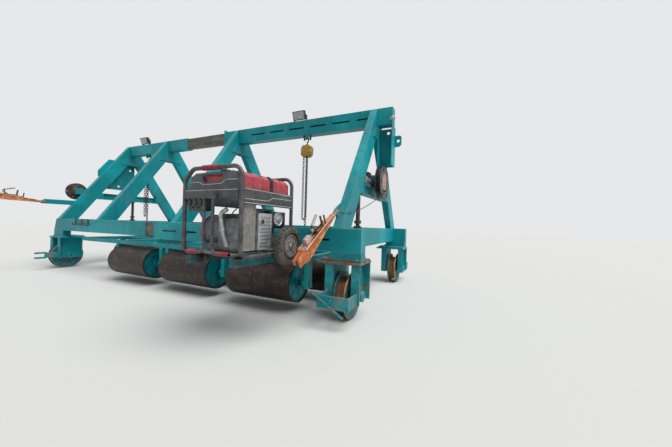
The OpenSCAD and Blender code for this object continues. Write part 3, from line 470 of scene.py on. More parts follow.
# Dark grey powder coat on the generator's bent pipes, sheets and handle, baked on over
# phosphated steel, with a fine orange peel that scatters the sky.
powder_coat = weathered("dark_grey_powder_coat", "#3C3E40", "#525557", "#2B2D2F", "#67605A", 0.45)
paint(powder_coat, "generator_frame", "generator_panels", "generator_handle")

# Light grey powder coat on the alternator's side cover, browned by dust and exhaust.
cover_coat = weathered("pale_grey_powder_coat", "#7C7A74", "#929088", "#625E58", "#5C4C3F", 0.55)
paint(cover_coat, "generator_cover")

# Red baked enamel on the pressed fuel tank, glossy once and now chalked to pink patches.
tank_enamel = weathered("chalked_red_enamel", "#A83B47", "#C0545C", "#8A2C38", "#6A3A36", 0.36)
paint(tank_enamel, "generator_tank")

# Sand-cast aluminium alloy, left as cast: dull, finely pitted and stained by oil.
cast_alloy = weathered("sand_cast_alloy", "#6E7072", "#93969A", "#4E4F50", "#37322D", 0.5, 0.5,
                       grain=0.003, depth=0.0004)
paint(cast_alloy, "drive_motor", "generator_engine")

# Aluminised sheet, pressed into the silencer's slotted shield, clouded by the heat.
shield_sheet = weathered("aluminised_sheet", "#A7AAAB", "#C0C3C3", "#85888A", "#7E6A52", 0.38, 0.7, 0.01)
paint(shield_sheet, "generator_muffler")

# Orange enamel on the pullers' pressed-steel cases, worn to bronze where the lever arm
# rubs, with grease and asphalt on top.
puller_enamel = weathered("worn_orange_enamel", "#B5612F", "#DD9762", "#7E3F22", "#3F2C22", 0.42)
paint(puller_enamel, "cable_pullers")

# Yellow enamel on the hoists' cast bodies, filmed with black oil from the chain.
hoist_enamel = weathered("oily_yellow_enamel", "#A8842A", "#CDA63A", "#1E1A13", "#15130F", 0.4)
paint(hoist_enamel, "chain_hoists")

# Tyres of moulded black rubber, matt and gone brown-grey with dust, on rims pressed from
# steel and painted a satin grey.
TYRE_AXIS = (0.0, -1.82, 0.785)
RIM_R = 0.098
tyre_rubber, tree, shader, place = finish("dusty_black_rubber", 0.75)
rim_mask = ramp(tree, from_axis(tree, place, TYRE_AXIS), RIM_R + 0.001, RIM_R - 0.001)
tone = coats(tree, "#3B3833",
             (patches(tree, place, 0.04, 0.4, 0.7), "#5B554C"),
             (patches(tree, place, 0.015, 0.5, 0.7, strength=0.6), "#26241F"),
             (rim_mask, coats(tree, "#7C7A74", (patches(tree, place, 0.03, 0.5, 0.7), "#5D5950"))))
surface(tree, shader, tone, patches(tree, place, 0.004, 0.2, 0.8), 0.0004, 0.002)
paint(tyre_rubber, "generator_wheel_left", "generator_wheel_right")

# Pressed steel cable reels, painted black outside. Cable has rubbed the hub bare, and it
# has rusted orange-brown on the left reel and stayed tan on the right one.
LEFT_REEL = (0.0, -0.9113, 1.505)
RIGHT_REEL = (0.0, -0.080, 1.575)
REEL_HUBS = [("reel_left", LEFT_REEL, 0.092, "#9A5A38", "#6E3F2A"),
             ("reel_right", RIGHT_REEL, 0.125, "#A98D68", "#7C5D41")]
reel_paints = {}
for node, axis, hub_r, hub, stain in REEL_HUBS:
    reel_paint, tree, shader, place = finish("black_painted_pressing", 0.45)
    bare = ramp(tree, from_axis(tree, place, axis), hub_r + 0.002, hub_r - 0.002)
    edges = patches(tree, place, 0.02, 0.34, 0.6, strength=0.8, within=sharp_edges(tree, 0.003))
    tone = coats(tree, "#2A2B2C",
                 (patches(tree, place, 0.05, 0.45, 0.7), "#464644"),
                 (edges, "#6F6C66"),
                 (patches(tree, place, 0.02, 0.62, 0.67, strength=0.8), CHIP_RUST),
                 (bare, coats(tree, hub, (patches(tree, place, 0.03, 0.4, 0.65), stain))))
    surface(tree, shader, tone, patches(tree, place, 0.005, 0.2, 0.8), 0.0003, 0.002)
    paint(reel_paint, node)
    reel_paints[node] = reel_paint

# The jacks' screws are rolled with a coarse thread, greased black, which runs from the
# foot nut to the cap. It is drawn at twice its real pitch, so that it shows.
JACKS = [(-2.976, 0.060), (2.891, -0.611)]
JACK_R = 0.0245
THREAD_R = 0.0042
THREAD_FOOT = 1.047
THREAD_PITCH = 0.012
THREAD_TURNS = 25
STEPS_A_TURN = 20
thread = begin("circle", vertices=4, radius=THREAD_R, location=(JACK_R, 0, THREAD_FOOT),
               rotation=(math.pi / 2, 0, 0))
winding = thread.modifiers.new("winding", "SCREW")
winding.steps = winding.render_steps = STEPS_A_TURN
winding.screw_offset = THREAD_PITCH
winding.iterations = THREAD_TURNS
bpy.ops.object.modifier_apply(modifier=winding.name)
bpy.ops.object.mode_set(mode="EDIT")
bpy.ops.mesh.select_all(action="SELECT")
bpy.ops.mesh.remove_doubles(threshold=0.00005)
bpy.ops.mesh.fill_holes(sides=4)
bpy.ops.mesh.normals_make_consistent(inside=False)
bpy.ops.object.mode_set(mode="OBJECT")
threads = repeat(thread, [Matrix.Translation((x, y, 0)) for x, y in JACKS])
complete(threads, "jack_threads", black_paint, "gantry")

# Each jack's foot flange is held to the end beam by four black hex bolts, and the right
# housings' top plates are bolted up through the beams' flanges in the same way.
FOOT_BOLT_R = 0.009
FOOT_BOLTS = [(x + dx, y + dy, 0.960) for x, y in JACKS
              for dx, dy in ((-0.036, -0.012), (0.036, -0.012), (-0.012, 0.036), (0.012, -0.036))]
PLATE_BOLT_R = 0.011
PLATE_BOLTS = [(x, end * y, 0.623) for end in (-1, 1)
               for x in (2.765, 2.785, 3.120) for y in (0.975, 1.225)]
complete(repeat(hex_bolt(FOOT_BOLT_R), [seat(point) for point in FOOT_BOLTS]),
         "jack_foot_bolts", black_paint, "gantry", 0.0006)
complete(repeat(hex_bolt(PLATE_BOLT_R), [seat(point) for point in PLATE_BOLTS]),
         "housing_bolts", zinc_plate, "gantry", 0.0006)

# Weld beads run along both sides of every leg's foot. They were laid by hand in short
# overlapping beads and painted over with the frame.
LEG_FRAMES = (-2.976, -1.619, 0.333, 2.891)
LEG_HALF_WIDTH = 0.052
LEG_FOOT_Y = (0.965, 1.225)
DECK_Z = 0.941
BEAD_R = 0.007
BEAD_STEP = 0.0075


def scaled(piece, test, factors, about=None):
    """Scales the faces that pass a test about their own middle, or about a point."""
    pick(piece, test)
    centre = {} if about is None else {"center_override": about}
    bpy.ops.transform.resize(value=factors, **centre)
    bpy.ops.object.mode_set(mode="OBJECT")
    return piece


bead = begin("ico_sphere", subdivisions=1, radius=BEAD_R)
scaled(bead, lambda middle, normal: True, (0.9, 1.0, 0.75))
bead_count = int((LEG_FOOT_Y[1] - LEG_FOOT_Y[0]) / BEAD_STEP) + 1
beads = [Matrix.Translation((x + side * LEG_HALF_WIDTH, end * (LEG_FOOT_Y[0] + i * BEAD_STEP), DECK_Z))
         for x in LEG_FRAMES for side in (-1, 1) for end in (-1, 1) for i in range(bead_count)]
complete(repeat(bead, beads), "leg_foot_welds", teal_enamel, "gantry")

# Three flat bars, bent over and welded to the left front arm, where tools are hung. The
# bar lies on the beam's top, comes down its face and turns up again into a hook.
HOOK_XS = (-2.353, -2.141, -1.929)
HOOK_WIDTH = 0.040
BEAM_FACE_Y = -1.222
HOOK = [(-0.090, 0.940), (-0.090, 0.948), (0.009, 0.948), (0.009, 0.843), (0.046, 0.843), (0.046, 0.885),
        (0.054, 0.885), (0.054, 0.835), (0.001, 0.835), (0.001, 0.940)]


def profile(outline, front, back):
    """A shape drawn in X and Z, pulled along Y from front to back."""
    piece = begin("circle", vertices=len(outline), radius=1.0, fill_type="NGON")
    bpy.ops.object.mode_set(mode="EDIT")
    mesh = bmesh.from_edit_mesh(piece.data)
    for corner, (x, z) in zip(mesh.verts, outline):
        corner.co = (x, front, z)
    bmesh.update_edit_mesh(piece.data)
    bpy.ops.mesh.select_all(action="SELECT")
    bpy.ops.mesh.extrude_region_move(TRANSFORM_OT_translate={"value": (0, back - front, 0)})
    bpy.ops.mesh.select_all(action="SELECT")
    bpy.ops.mesh.normals_make_consistent(inside=False)
    bpy.ops.object.mode_set(mode="OBJECT")
    return piece


hook = profile(HOOK, -HOOK_WIDTH / 2, HOOK_WIDTH / 2)
to_front = Matrix.Rotation(-math.pi / 2, 4, "Z")
complete(repeat(hook, [Matrix.Translation((x, BEAM_FACE_Y, 0)) @ to_front for x in HOOK_XS]),
         "beam_hooks", black_paint, "gantry", 0.002)

# Round flanges are screwed to the drums' end discs over the bearings, six cap screws
# each, with a greased ring around the axle stub and eight welded ribs out to the rim.
DRUMS = [("front_row_drum_3", 2.425, -1.162, 0.89), ("front_row_drum_2", 1.185, -1.162, 0.89),
         ("front_row_drum_1", -0.055, -1.162, 0.89), ("second_row_drum_4", 2.620, -0.547, 0.95),
         ("second_row_drum_3", 1.380, -0.547, 0.95), ("second_row_drum_2", 0.140, -0.547, 0.95),
         ("second_row_drum_1", -1.100, -0.547, 0.95)]
DRUM_AXIS_Z = 0.323
DISC_INSET = 0.014
FLANGE_R, FLANGE_HOLE_R = 0.062, 0.030
FLANGE_TOP = 0.008
RIB_END = 0.190
RIB_COUNT = 8
SCREW_R = 0.006
SCREW_RING = 0.048
SCREW_COUNT = 6


def ring(start, end, outer, inner, sides=32):
    """A tube between two points: a bar whose ends are inset and bridged through."""
    piece = bar(start, end, outer, sides)
    pick(piece, facing(*(Vector(end) - Vector(start)).normalized(), both=True))
    bpy.ops.mesh.inset(thickness=outer - inner)
    bpy.ops.mesh.bridge_edge_loops()
    bpy.ops.object.mode_set(mode="OBJECT")
    return piece


def around(count, radius, start=0.0):
    """Pairs of coordinates spaced evenly on a circle, from an angle on."""
    angles = [start + i * math.tau / count for i in range(count)]
    return [(radius * math.cos(angle), radius * math.sin(angle)) for angle in angles]


def turns(count, axis="Z"):
    """The matrices of an evenly spaced set of turns about an axis."""
    return [Matrix.Rotation(i * math.tau / count, 4, axis) for i in range(count)]


for body, right, y, length in DRUMS:
    flange = ring((0, 0, -0.002), (0, 0, FLANGE_TOP), FLANGE_R, FLANGE_HOLE_R)
    rib = scaled(slab((0.060, -0.004, -0.002), (RIB_END, 0.004, 0.006)), facing(1, 0, 0),
                 (1, 1, 0.3), (RIB_END, 0, -0.002))
    ribs = repeat(rib, turns(RIB_COUNT))
    screws = repeat(hex_bolt(SCREW_R), [seat((dx, dy, FLANGE_TOP))
                                        for dx, dy in around(SCREW_COUNT, SCREW_RING)])
    ends = [seat((right - DISC_INSET, y, DRUM_AXIS_Z), (1, 0, 0)),
            seat((right - length + DISC_INSET, y, DRUM_AXIS_Z), (-1, 0, 0))]
    hubs = repeat(join(flange, ribs, screws), ends)
    complete(hubs, body + "_hubs", drum_steel, body, 0.0006)

# The generator's frame is bent steel pipe: two hoops whose feet are joined by collars to
# side rails that bend up at both ends, two cross pipes, and lugs for the wheels' axle.
PIPE_R = 0.016
BEND_R = 0.08
HOOP_YS = (-2.309, -1.686)
HOOP_FOOT = 0.881
HOOP = [(2.046, HOOP_FOOT), (2.046, 1.296), (2.134, 1.384), (2.634, 1.384), (2.634, HOOP_FOOT)]
RAIL_XS = (2.046, 2.634)
RAIL_Z = 0.721
COLLAR_R, COLLAR_HOLE_R = 0.0190, 0.0155
CROSS_YS = (-2.195, -1.80)
CROSS_Z = 0.719
CROSS_R = 0.014
WHEEL_LUG = ((-0.006, -1.86, 0.713), (0.006, -1.78, 0.835))


def bent(corners, radius, steps=8):
    """The middle line of a pipe through corners, bent to a radius at each."""
    corners = [Vector(corner) for corner in corners]
    path = [corners[0]]
    for before, corner, after in zip(corners, corners[1:], corners[2:]):
        back, ahead = (before - corner).normalized(), (after - corner).normalized()
        half = back.angle(ahead) / 2
        centre = corner + (back + ahead).normalized() * radius / math.sin(half)
        start = (corner + back * radius / math.tan(half) - centre).normalized()
        end = (corner + ahead * radius / math.tan(half) - centre).normalized()
        path += [centre + start.slerp(end, i / steps) * radius for i in range(steps + 1)]
    return path + [corners[-1]]


def tube(path, radius, sides=16):
    """A round pipe along a path, drawn as a curve with a bevel and made a mesh."""
    line = bpy.data.curves.new("pipe", "CURVE")
    line.dimensions = "3D"
    line.bevel_depth = radius
    line.bevel_resolution = sides // 2 - 2
    line.use_fill_caps = True
    spline = line.splines.new("POLY")
    spline.points.add(len(path) - 1)
    for point, place in zip(spline.points, path):
        point.co = (*place, 1.0)
    piece = bpy.data.objects.new("pipe", line)
    bpy.context.scene.collection.objects.link(piece)
    join(piece)
    bpy.ops.object.convert(target="MESH")
    return bpy.context.object


pipes = [tube(bent([(x, y, z) for x, z in HOOP], BEND_R), PIPE_R) for y in HOOP_YS]
for x in RAIL_XS:
    rail = [(x, HOOP_YS[0], HOOP_FOOT), (x, HOOP_YS[0], RAIL_Z),
            (x, HOOP_YS[1], RAIL_Z), (x, HOOP_YS[1], HOOP_FOOT)]
    pipes.append(tube(bent(rail, BEND_R), PIPE_R))
    pipes += [ring((x, y, 0.865), (x, y, 0.897), COLLAR_R, COLLAR_HOLE_R) for y in HOOP_YS]
    lug = scaled(slab(*WHEEL_LUG), facing(0, 0, 1), (1, 0.55, 1))
    pipes.append(repeat(lug, [Matrix.Translation((x, 0, 0))]))
pipes += [tube([(RAIL_XS[0], y, CROSS_Z), (RAIL_XS[1], y, CROSS_Z)], CROSS_R) for y in CROSS_YS]
generator_pipes = complete(join(*pipes), "generator_pipes", powder_coat, "gantry", 0.0008)
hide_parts("generator_frame")

# Pressed sheets around the tank: the front one fills the hoop's top and has a hand slot
# and a proud lower lip, bands join the hoops, and the outlet box hangs below the front.
FRONT_SHEET = [(2.064, 1.150), (2.620, 1.150), (2.620, 1.300), (2.594, 1.338), (2.556, 1.350),
               (2.172, 1.344), (2.124, 1.316), (2.092, 1.216), (2.064, 1.196)]
HAND_SLOT = [(2.245, 1.295), (2.265, 1.275), (2.430, 1.275), (2.450, 1.295), (2.450, 1.326), (2.245, 1.326)]
SHEET_YS = (-2.317, -2.299)
SLOT_YS = (-2.33, -2.29)
LOWER_LIP = ((2.064, -2.326, 1.152), (2.616, -2.310, 1.214))
RIGHT_BAND = ((2.624, -2.296, 1.112), (2.644, -1.699, 1.230))
LEFT_BAND = ((2.036, -2.296, 1.112), (2.056, -1.699, 1.230))
OUTLET_BOX = ((2.080, -2.317, 1.055), (2.265, -2.215, 1.152))


def cut(piece, cutter):
    """Cuts a shape out of a piece and takes the cutter away."""
    knife = piece.modifiers.new("cut", "BOOLEAN")
    knife.operation = "DIFFERENCE"
    knife.object = cutter
    join(piece)
    bpy.ops.object.modifier_apply(modifier=knife.name)
    bpy.data.objects.remove(cutter)
    return piece


sheet = cut(profile(FRONT_SHEET, *SHEET_YS), profile(HAND_SLOT, *SLOT_YS))
outlet_box = scaled(slab(*OUTLET_BOX), facing(0, 0, -1), (0.86, 0.8, 1))
sheets = join(sheet, outlet_box, slab(*LOWER_LIP), slab(*RIGHT_BAND), slab(*LEFT_BAND))
generator_sheets = complete(sheets, "generator_sheets", powder_coat, "gantry", 0.003)
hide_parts("generator_panels")

# Three round outlets with sprung covers and two breaker buttons are set into the outlet
# box's front. They are moulded black plastic.
OUTLET_XS = (2.112, 2.172, 2.232)
OUTLET_Z = 1.118
OUTLET_R = 0.022
BUTTON_XS = (2.142, 2.202)
BUTTON_Z = 1.082
BUTTON_R = 0.007

# Moulded black plastic, glossy when new and gone grey where the sun and hands reach it.
black_plastic = weathered("moulded_black_plastic", "#1E1F20", "#34352F", "#121212", "#6A5F52", 0.45)
outlets = []
for x in OUTLET_XS:
    cover = bar((x, -2.315, OUTLET_Z), (x, -2.327, OUTLET_Z), OUTLET_R, 28)
    outlets.append(inset(cover, facing(0, -1, 0), (0.004, -0.003)))
    outlets.append(slab((x - 0.009, -2.330, OUTLET_Z + 0.019), (x + 0.009, -2.316, OUTLET_Z + 0.028)))
outlets += [bar((x, -2.314, BUTTON_Z), (x, -2.323, BUTTON_Z), BUTTON_R, 16) for x in BUTTON_XS]
complete(join(*outlets), "generator_outlets", black_plastic, "gantry", 0.001)

# Thin raised trim lines along the sheets, silver-lacquered, with a step where the slot
# or the band narrows. The line along the lower lip's top edge is a painted highlight.
TRIM_R = 0.0026
LINES = [[(2.124, -2.317, 1.278), (2.215, -2.317, 1.275), (2.258, -2.317, 1.254), (2.441, -2.317, 1.259),
          (2.488, -2.317, 1.286), (2.604, -2.317, 1.285)],
         # This line along the lower lip's top edge is a painted highlight.
         [(2.076, -2.3255, 1.211), (2.606, -2.3255, 1.211)],
         [(2.644, -2.288, 1.222), (2.644, -1.708, 1.222)],
         [(2.644, -2.288, 1.148), (2.644, -2.030, 1.151), (2.644, -1.968, 1.180), (2.644, -1.708, 1.184)],
         [(2.644, -2.288, 1.120), (2.644, -1.708, 1.124)]]

# Silver lacquer sprayed through a mask: a thin even film with a fine metal glint, rubbed
# through in places. The same pale silver paints the highlight on the lower lip's top edge.
silver_trim_and_highlight = weathered("silver_lacquer_and_painted_highlight", "#B9BCBD", "#D2D4D4", "#8C8E8F", "#6F6A62", 0.4)
complete(join(*[tube(line, TRIM_R, 8) for line in LINES]), "generator_trim_and_highlight", silver_trim_and_highlight,
         "gantry")

# The fuel tank is pressed from steel sheet with raised ribs across its top and side. A
# strap holds it between the bands, and its filler has a ribbed black cap with a vent.
TANK_YS = (-2.292, -1.703)
TANK = [(2.140, 1.224), (2.609, 1.224), (2.609, 1.322), (2.578, 1.350), (2.275, 1.350), (2.140, 1.262)]
TANK_RIBS = [(-2.262, -2.205), (-2.172, -2.094), (-2.062, -1.985), (-1.892, -1.834), (-1.803, -1.733)]
RIB = [(2.150, 1.226), (2.614, 1.226), (2.614, 1.324), (2.585, 1.355), (2.275, 1.355), (2.150, 1.267)]
STRAP = [(2.255, 1.336), (2.6195, 1.222), (2.6195, 1.330), (2.583, 1.3605), (2.265, 1.3605)]
STRAP_YS = (-1.963, -1.933)
CAP = Vector((2.370, -2.203, 1.350))
CAP_R, CAP_HEIGHT = 0.041, 0.030
CAP_TEETH = 24
ribs = [profile(RIB, *ends) for ends in TANK_RIBS]
shell = join(profile(TANK, *TANK_YS), *ribs)
tank = complete(shell, "fuel_tank", tank_enamel, "gantry", 0.0045, 3)
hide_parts("generator_tank")
complete(profile(STRAP, *STRAP_YS), "tank_strap", black_paint, "gantry", 0.001)
cap = bar(CAP, CAP + Vector((0, 0, CAP_HEIGHT)), CAP_R, 40)
inset(cap, facing(0, 0, 1), (0.008, 0.004), (0.012, -0.003))
tooth = slab((0.039, -0.0022, 0.002), (0.0445, 0.0022, 0.026))
teeth = repeat(tooth, [Matrix.Translation(CAP) @ turn for turn in turns(CAP_TEETH)])
complete(join(cap, teeth), "fuel_cap", black_plastic, "gantry", 0.001)

# The handle is two thin bent pipes that hang from a hinge block in front of the frame.
# Their ends turn outwards and carry red rubber grips, as the front hoop's top does.
HANDLE_Y = -2.343
HANDLE_TOP, HANDLE_FOOT = 1.150, 0.745
HANDLE_R = 0.012
HANDLE_BEND_R = 0.048
HANDLE_XS = ((2.305, 2.135), (2.395, 2.565))
HINGE_BLOCK = ((2.282, -2.359, 1.144), (2.418, -2.317, 1.194))
GRIP_SHARE = 0.66
GRIP_RIB_STEP = 0.009
GRIP_RIB_HALF = 0.003
handle = [slab(*HINGE_BLOCK)]
for inner, outer in HANDLE_XS:
    path = [(inner, HANDLE_Y, HANDLE_TOP), (inner, HANDLE_Y, HANDLE_FOOT), (outer, HANDLE_Y, HANDLE_FOOT)]
    handle.append(tube(bent(path, HANDLE_BEND_R), HANDLE_R))
handle = complete(join(*handle), "folding_handle", powder_coat, "gantry", 0.004)
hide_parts("generator_handle")

# Rubber moulded in red, matt to the eye, with black grease in its ribs.
red_rubber = weathered("moulded_red_rubber", "#8C2233", "#A8404C", "#5E1622", "#4A3A34", 0.6)


def grip(start, end, radius, rib):
    """A rubber sleeve with rounded ribs between two points."""
    start, end = Vector(start), Vector(end)
    count = int((end - start).length / GRIP_RIB_STEP)
    half = (end - start).normalized() * GRIP_RIB_HALF
    pieces = [bar(start, end, radius)]
    for i in range(count):
        middle = start.lerp(end, (i + 0.5) / count)
        pieces.append(bar(middle - half, middle + half, radius + rib))
    return join(*pieces)


grips = [grip((2.240, -2.309, 1.384), (2.425, -2.309, 1.384), 0.0185, 0.0025)]
for inner, outer in HANDLE_XS:
    end_x = outer + (inner - outer) * GRIP_SHARE
    grips.append(grip((outer, HANDLE_Y, HANDLE_FOOT), (end_x, HANDLE_Y, HANDLE_FOOT), 0.0145, 0.002))
complete(join(*grips), "rubber_grips", red_rubber, "gantry", 0.0008)

# The engine set on its tray: a round alternator with end bells to the left, the crankcase
# and finned barrel to the right, an air filter behind, all cast alloy gone dull.
SHAFT = (-2.085, 0.905)
TRAY = ((2.062, -2.285, 0.733), (2.590, -1.710, 0.753))
ALTERNATOR_XS = (2.110, 2.340)
ALTERNATOR_R = 0.122
BELLS = [(2.104, 2.140), (2.296, 2.346)]
BELL_R = 0.131
VANE_X = 2.102
VANE_COUNT = 12
CRANKCASE = ((2.340, -2.235, 0.753), (2.550, -1.820, 1.005))
BARREL = ((2.368, -2.037, 1.000), (2.522, -1.808, 1.095))
FIN_COUNT = 8
FIN_STEP = 0.0115
FIN_THICK = 0.003
FIN_PROUD = 0.010
SADDLES = [((2.130, -2.155, 0.745), (2.290, -2.125, 0.830)),
           ((2.130, -2.045, 0.745), (2.290, -2.015, 0.830))]
AIR_FILTER = ((2.480, -1.925, 0.935), (2.600, -1.730, 1.075))
COWL = ((2.356, -2.225, 1.004), (2.536, -2.060, 1.040))
LEAD = [(2.445, -2.040, 1.060), (2.445, -2.140, 1.100), (2.445, -2.200, 1.050), (2.445, -2.215, 0.985)]
LEAD_R = 0.0045
LEAD_BEND_R = 0.03
PLUG = [(2.445, -2.010, 1.050), (2.445, -2.050, 1.062)]
PLUG_R = 0.012
engine = [inset(slab(*TRAY), facing(0, 0, 1), (0.010, -0.014)),
          bar((ALTERNATOR_XS[0], *SHAFT), (ALTERNATOR_XS[1], *SHAFT), ALTERNATOR_R, 48)]
for start, end in BELLS:
    bell = bar((start, *SHAFT), (end, *SHAFT), BELL_R, 48)
    engine.append(inset(bell, facing(1, 0, 0, both=True), (0.020, 0.006), (0.060, -0.008)))
to_side = Matrix.Translation((VANE_X, *SHAFT)) @ Matrix.Rotation(math.pi / 2, 4, "Y")
vane = slab((0.048, -0.004, -0.006), (0.108, 0.004, 0.006))
engine.append(repeat(vane, [to_side @ turn for turn in turns(VANE_COUNT)]))
engine += [inset(slab(*CRANKCASE), facing(0, -1, 0), (0.022, 0.012)), slab(*BARREL)]
for i in range(FIN_COUNT):
    z = BARREL[0][2] + 0.008 + i * FIN_STEP
    engine.append(slab((BARREL[0][0] - FIN_PROUD, BARREL[0][1] - FIN_PROUD, z),
                       (BARREL[1][0] + FIN_PROUD, BARREL[1][1] + FIN_PROUD, z + FIN_THICK)))
engine += [slab(*saddle) for saddle in SADDLES]
engine = complete(join(*engine), "engine_and_alternator", cast_alloy, "gantry", 0.002)
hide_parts("generator_engine")
air_filter = inset(slab(*AIR_FILTER), facing(1, 0, 0), (0.014, 0.008))
lead = tube(bent(LEAD, LEAD_BEND_R), LEAD_R, 8)
complete(join(air_filter, lead, bar(*PLUG, PLUG_R, 20), slab(*COWL)), "air_filter_and_lead", black_plastic,
         "gantry", 0.006, 3)

# Bright sheet parts stand around the engine: the exhaust elbow in front of the crankcase
# and the silencer's round outlet in its shield, whose mouth is closed by a black disc:
# soot, and painted shade for the hollow pipe.
ELBOW = [(2.440, -2.240, 0.790), (2.420, -2.262, 0.880), (2.385, -2.262, 1.040), (2.430, -2.240, 1.075)]
ELBOW_R = 0.017
ELBOW_BEND_R = 0.04
CLAMP = [(2.412, -2.262, 0.905), (2.408, -2.262, 0.925)]
MOUTH_Y, MOUTH_Z = -2.080, 0.985
MOUTH_R = 0.0205
elbow = tube(bent(ELBOW, ELBOW_BEND_R), ELBOW_R)
clamp = ring(*CLAMP, 0.023, 0.016)
outlet = ring((2.630, MOUTH_Y, MOUTH_Z), (2.641, MOUTH_Y, MOUTH_Z), 0.026, 0.020)
complete(join(elbow, clamp, outlet), "exhaust_elbow_and_outlet", shield_sheet,
         "gantry", 0.001)
# A black disc just inside the outlet: soot, and painted shade in the pipe's hollow.
mouth = bar((2.628, MOUTH_Y, MOUTH_Z), (2.638, MOUTH_Y, MOUTH_Z), MOUTH_R, 28)
inset(mouth, facing(1, 0, 0), (0.003, -0.001))
complete(mouth, "silencer_mouth", black_paint, "gantry")

# The recoil starter's cover beside the silencer is a pressed disc with a raised rim, a
# bright ring and slots around its hub.
STARTER = Vector((2.588, -1.850, 1.010))
STARTER_R = 0.060
DISC_FACE = Vector((0.030, 0, 0))
SPOKE_FACE = Vector((0.024, 0, 0))
SPOKE_COUNT = 10
disc = bar(STARTER, STARTER + DISC_FACE, STARTER_R, 40)
inset(disc, facing(1, 0, 0), (0.008, 0.003), (0.006, -0.006), (0.022, 0.000), (0.003, 0.008))
spoke = slab((-0.001, -0.0025, 0.024), (0.006, 0.0025, 0.046))
hub_face = Matrix.Translation(STARTER + SPOKE_FACE)
spokes = repeat(spoke, [hub_face @ turn for turn in turns(SPOKE_COUNT, "X")])
complete(join(disc, spokes), "starter_disc", shield_sheet, "gantry", 0.001)

# The generator stands on four rubber feet clamped under its cross pipes, moulded in
# black and worn brown. Two of them hang in front of its deck.
FOOT_XS = (2.160, 2.500)
FOOT_Z = 0.676
FOOT_R = 0.022
foot = scaled(bar((0, 0, -0.004), (0, 0, 0.030), FOOT_R, 24), facing(0, 0, -1), (1.25, 1.25, 1))
feet = repeat(foot, [Matrix.Translation((x, y, FOOT_Z)) for x in FOOT_XS for y in CROSS_YS])
complete(feet, "generator_feet", black_plastic, "gantry", 0.002)

# The tyres carry a block tread: two staggered rows of moulded lugs over the crown and
# shoulder. The pressed rims are held by four nuts around a plastic cap.
TYRES = [("generator_right_wheel", 2.665, 2.745, 1), ("generator_left_wheel", 1.935, 2.015, -1)]
TYRE_R = 0.1648
TYRE_LUGS = 26
LUG_SKEW = math.radians(18)
RIM_SUNK = 0.016
RIM_PROUD = 0.009
HUB_CAP_R = 0.026
HUB_CAP_PROUD = 0.012
NUT_R = 0.007
NUT_RING = 0.052
NUT_TURN = 0.6
for body, low, high, side in TYRES:
    y, z = TYRE_AXIS[1:]
    crown = Matrix.Translation(((low + high) / 2, y, z))
    on_tread = Matrix.Translation((0, 0, TYRE_R))
    lug = scaled(slab((-0.031, -0.012, -0.003), (-0.003, 0.012, 0.004)), facing(0, 0, 1), (0.85, 0.8, 1))
    lug_seats = []
    for i in range(TYRE_LUGS):
        for row, skew in ((0, -LUG_SKEW), (1, LUG_SKEW + math.pi)):
            turn = Matrix.Rotation((i + row / 2) * math.tau / TYRE_LUGS, 4, "X")
            lug_seats.append(crown @ turn @ on_tread @ Matrix.Rotation(skew, 4, "Z"))
    complete(repeat(lug, lug_seats), body.replace("wheel", "tread"), tyre_rubber, body, 0.001)
    face = high - RIM_SUNK if side > 0 else low + RIM_SUNK
    hub_cap = bar((face, y, z), (face + side * HUB_CAP_PROUD, y, z), HUB_CAP_R, 28)
    inset(hub_cap, facing(side, 0, 0), (0.006, 0.004))
    nuts = repeat(hex_bolt(NUT_R), [seat((face, y + dy, z + dz), (side, 0, 0))
                                    for dy, dz in around(4, NUT_RING, NUT_TURN)])
    rim = ring((face, y, z), (face + side * RIM_PROUD, y, z), 0.096, 0.086, 40)
    complete(join(hub_cap, nuts, rim), body.replace("wheel", "rim"), zinc_plate, body, 0.001)

# A lever-worked cable puller hangs by a pin from a lug on each front leg. Its case is
# folded sheet, narrow at the pin and wide at the jaws, with a sunk top and sides.
PULLERS = [((-2.976, -1.45, 1.245), math.radians(-5)), ((2.847, -1.172, 1.115), math.radians(33))]
CASE = ((0.070, -0.041, -0.058), (0.745, 0.041, 0.058))
CASE_TAPER = (1, 0.42, 0.34)
NOSE_X = 0.7
JAW = ((0.760, -0.036, -0.030), (0.862, -0.012, 0.052))
MATE = ((0.760, 0.012, -0.030), (0.862, 0.036, 0.052))
EAR_Y = 0.0075
EAR_HALF = 0.0035
ROPE_GUIDE = [(0.700, 0, 0.006), (0.836, 0, 0.006)]
RIDGES = [[(0.085, -0.0180, 0.0225), (0.740, -0.0405, 0.0575)],
          [(0.085, 0.0180, 0.0225), (0.740, 0.0405, 0.0575)]]
RIDGE_R = 0.0048
along_puller = Matrix.Rotation(-math.pi / 2, 4, "Z")
puller_seats = [Matrix.Translation(pin) @ Matrix.Rotation(angle, 4, "X") @ along_puller
                for pin, angle in PULLERS]
case = scaled(slab(*CASE), facing(-1, 0, 0), CASE_TAPER)
pick(case, facing(1, 0, 0))
bpy.ops.mesh.extrude_region_move(TRANSFORM_OT_translate={"value": (0.060, 0, 0)})
bpy.ops.transform.resize(value=(1, 0.9, 0.55))
inset(case, lambda middle, normal: abs(normal.y) > 0.9 and middle.x < NOSE_X, (0.011, -0.006))
inset(case, lambda middle, normal: normal.z > 0.9 and middle.x < NOSE_X, (0.009, -0.008))
jaw = scaled(slab(*JAW), facing(1, 0, 0), (1, 1, 0.55))
rope_guide = ring(*ROPE_GUIDE, 0.021, 0.013)
ears = [slab((-0.025, side * EAR_Y - EAR_HALF, -0.020), (0.120, side * EAR_Y + EAR_HALF, 0.020))
        for side in (-1, 1)]
case = join(case, jaw, slab(*MATE), rope_guide, *ears)
puller_cases = repeat(case, puller_seats)
complete(puller_cases, "puller_cases", puller_enamel, "gantry", 0.0025)
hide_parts("cable_pullers")
ridges = [tube(ends, RIDGE_R, 8) for ends in RIDGES]

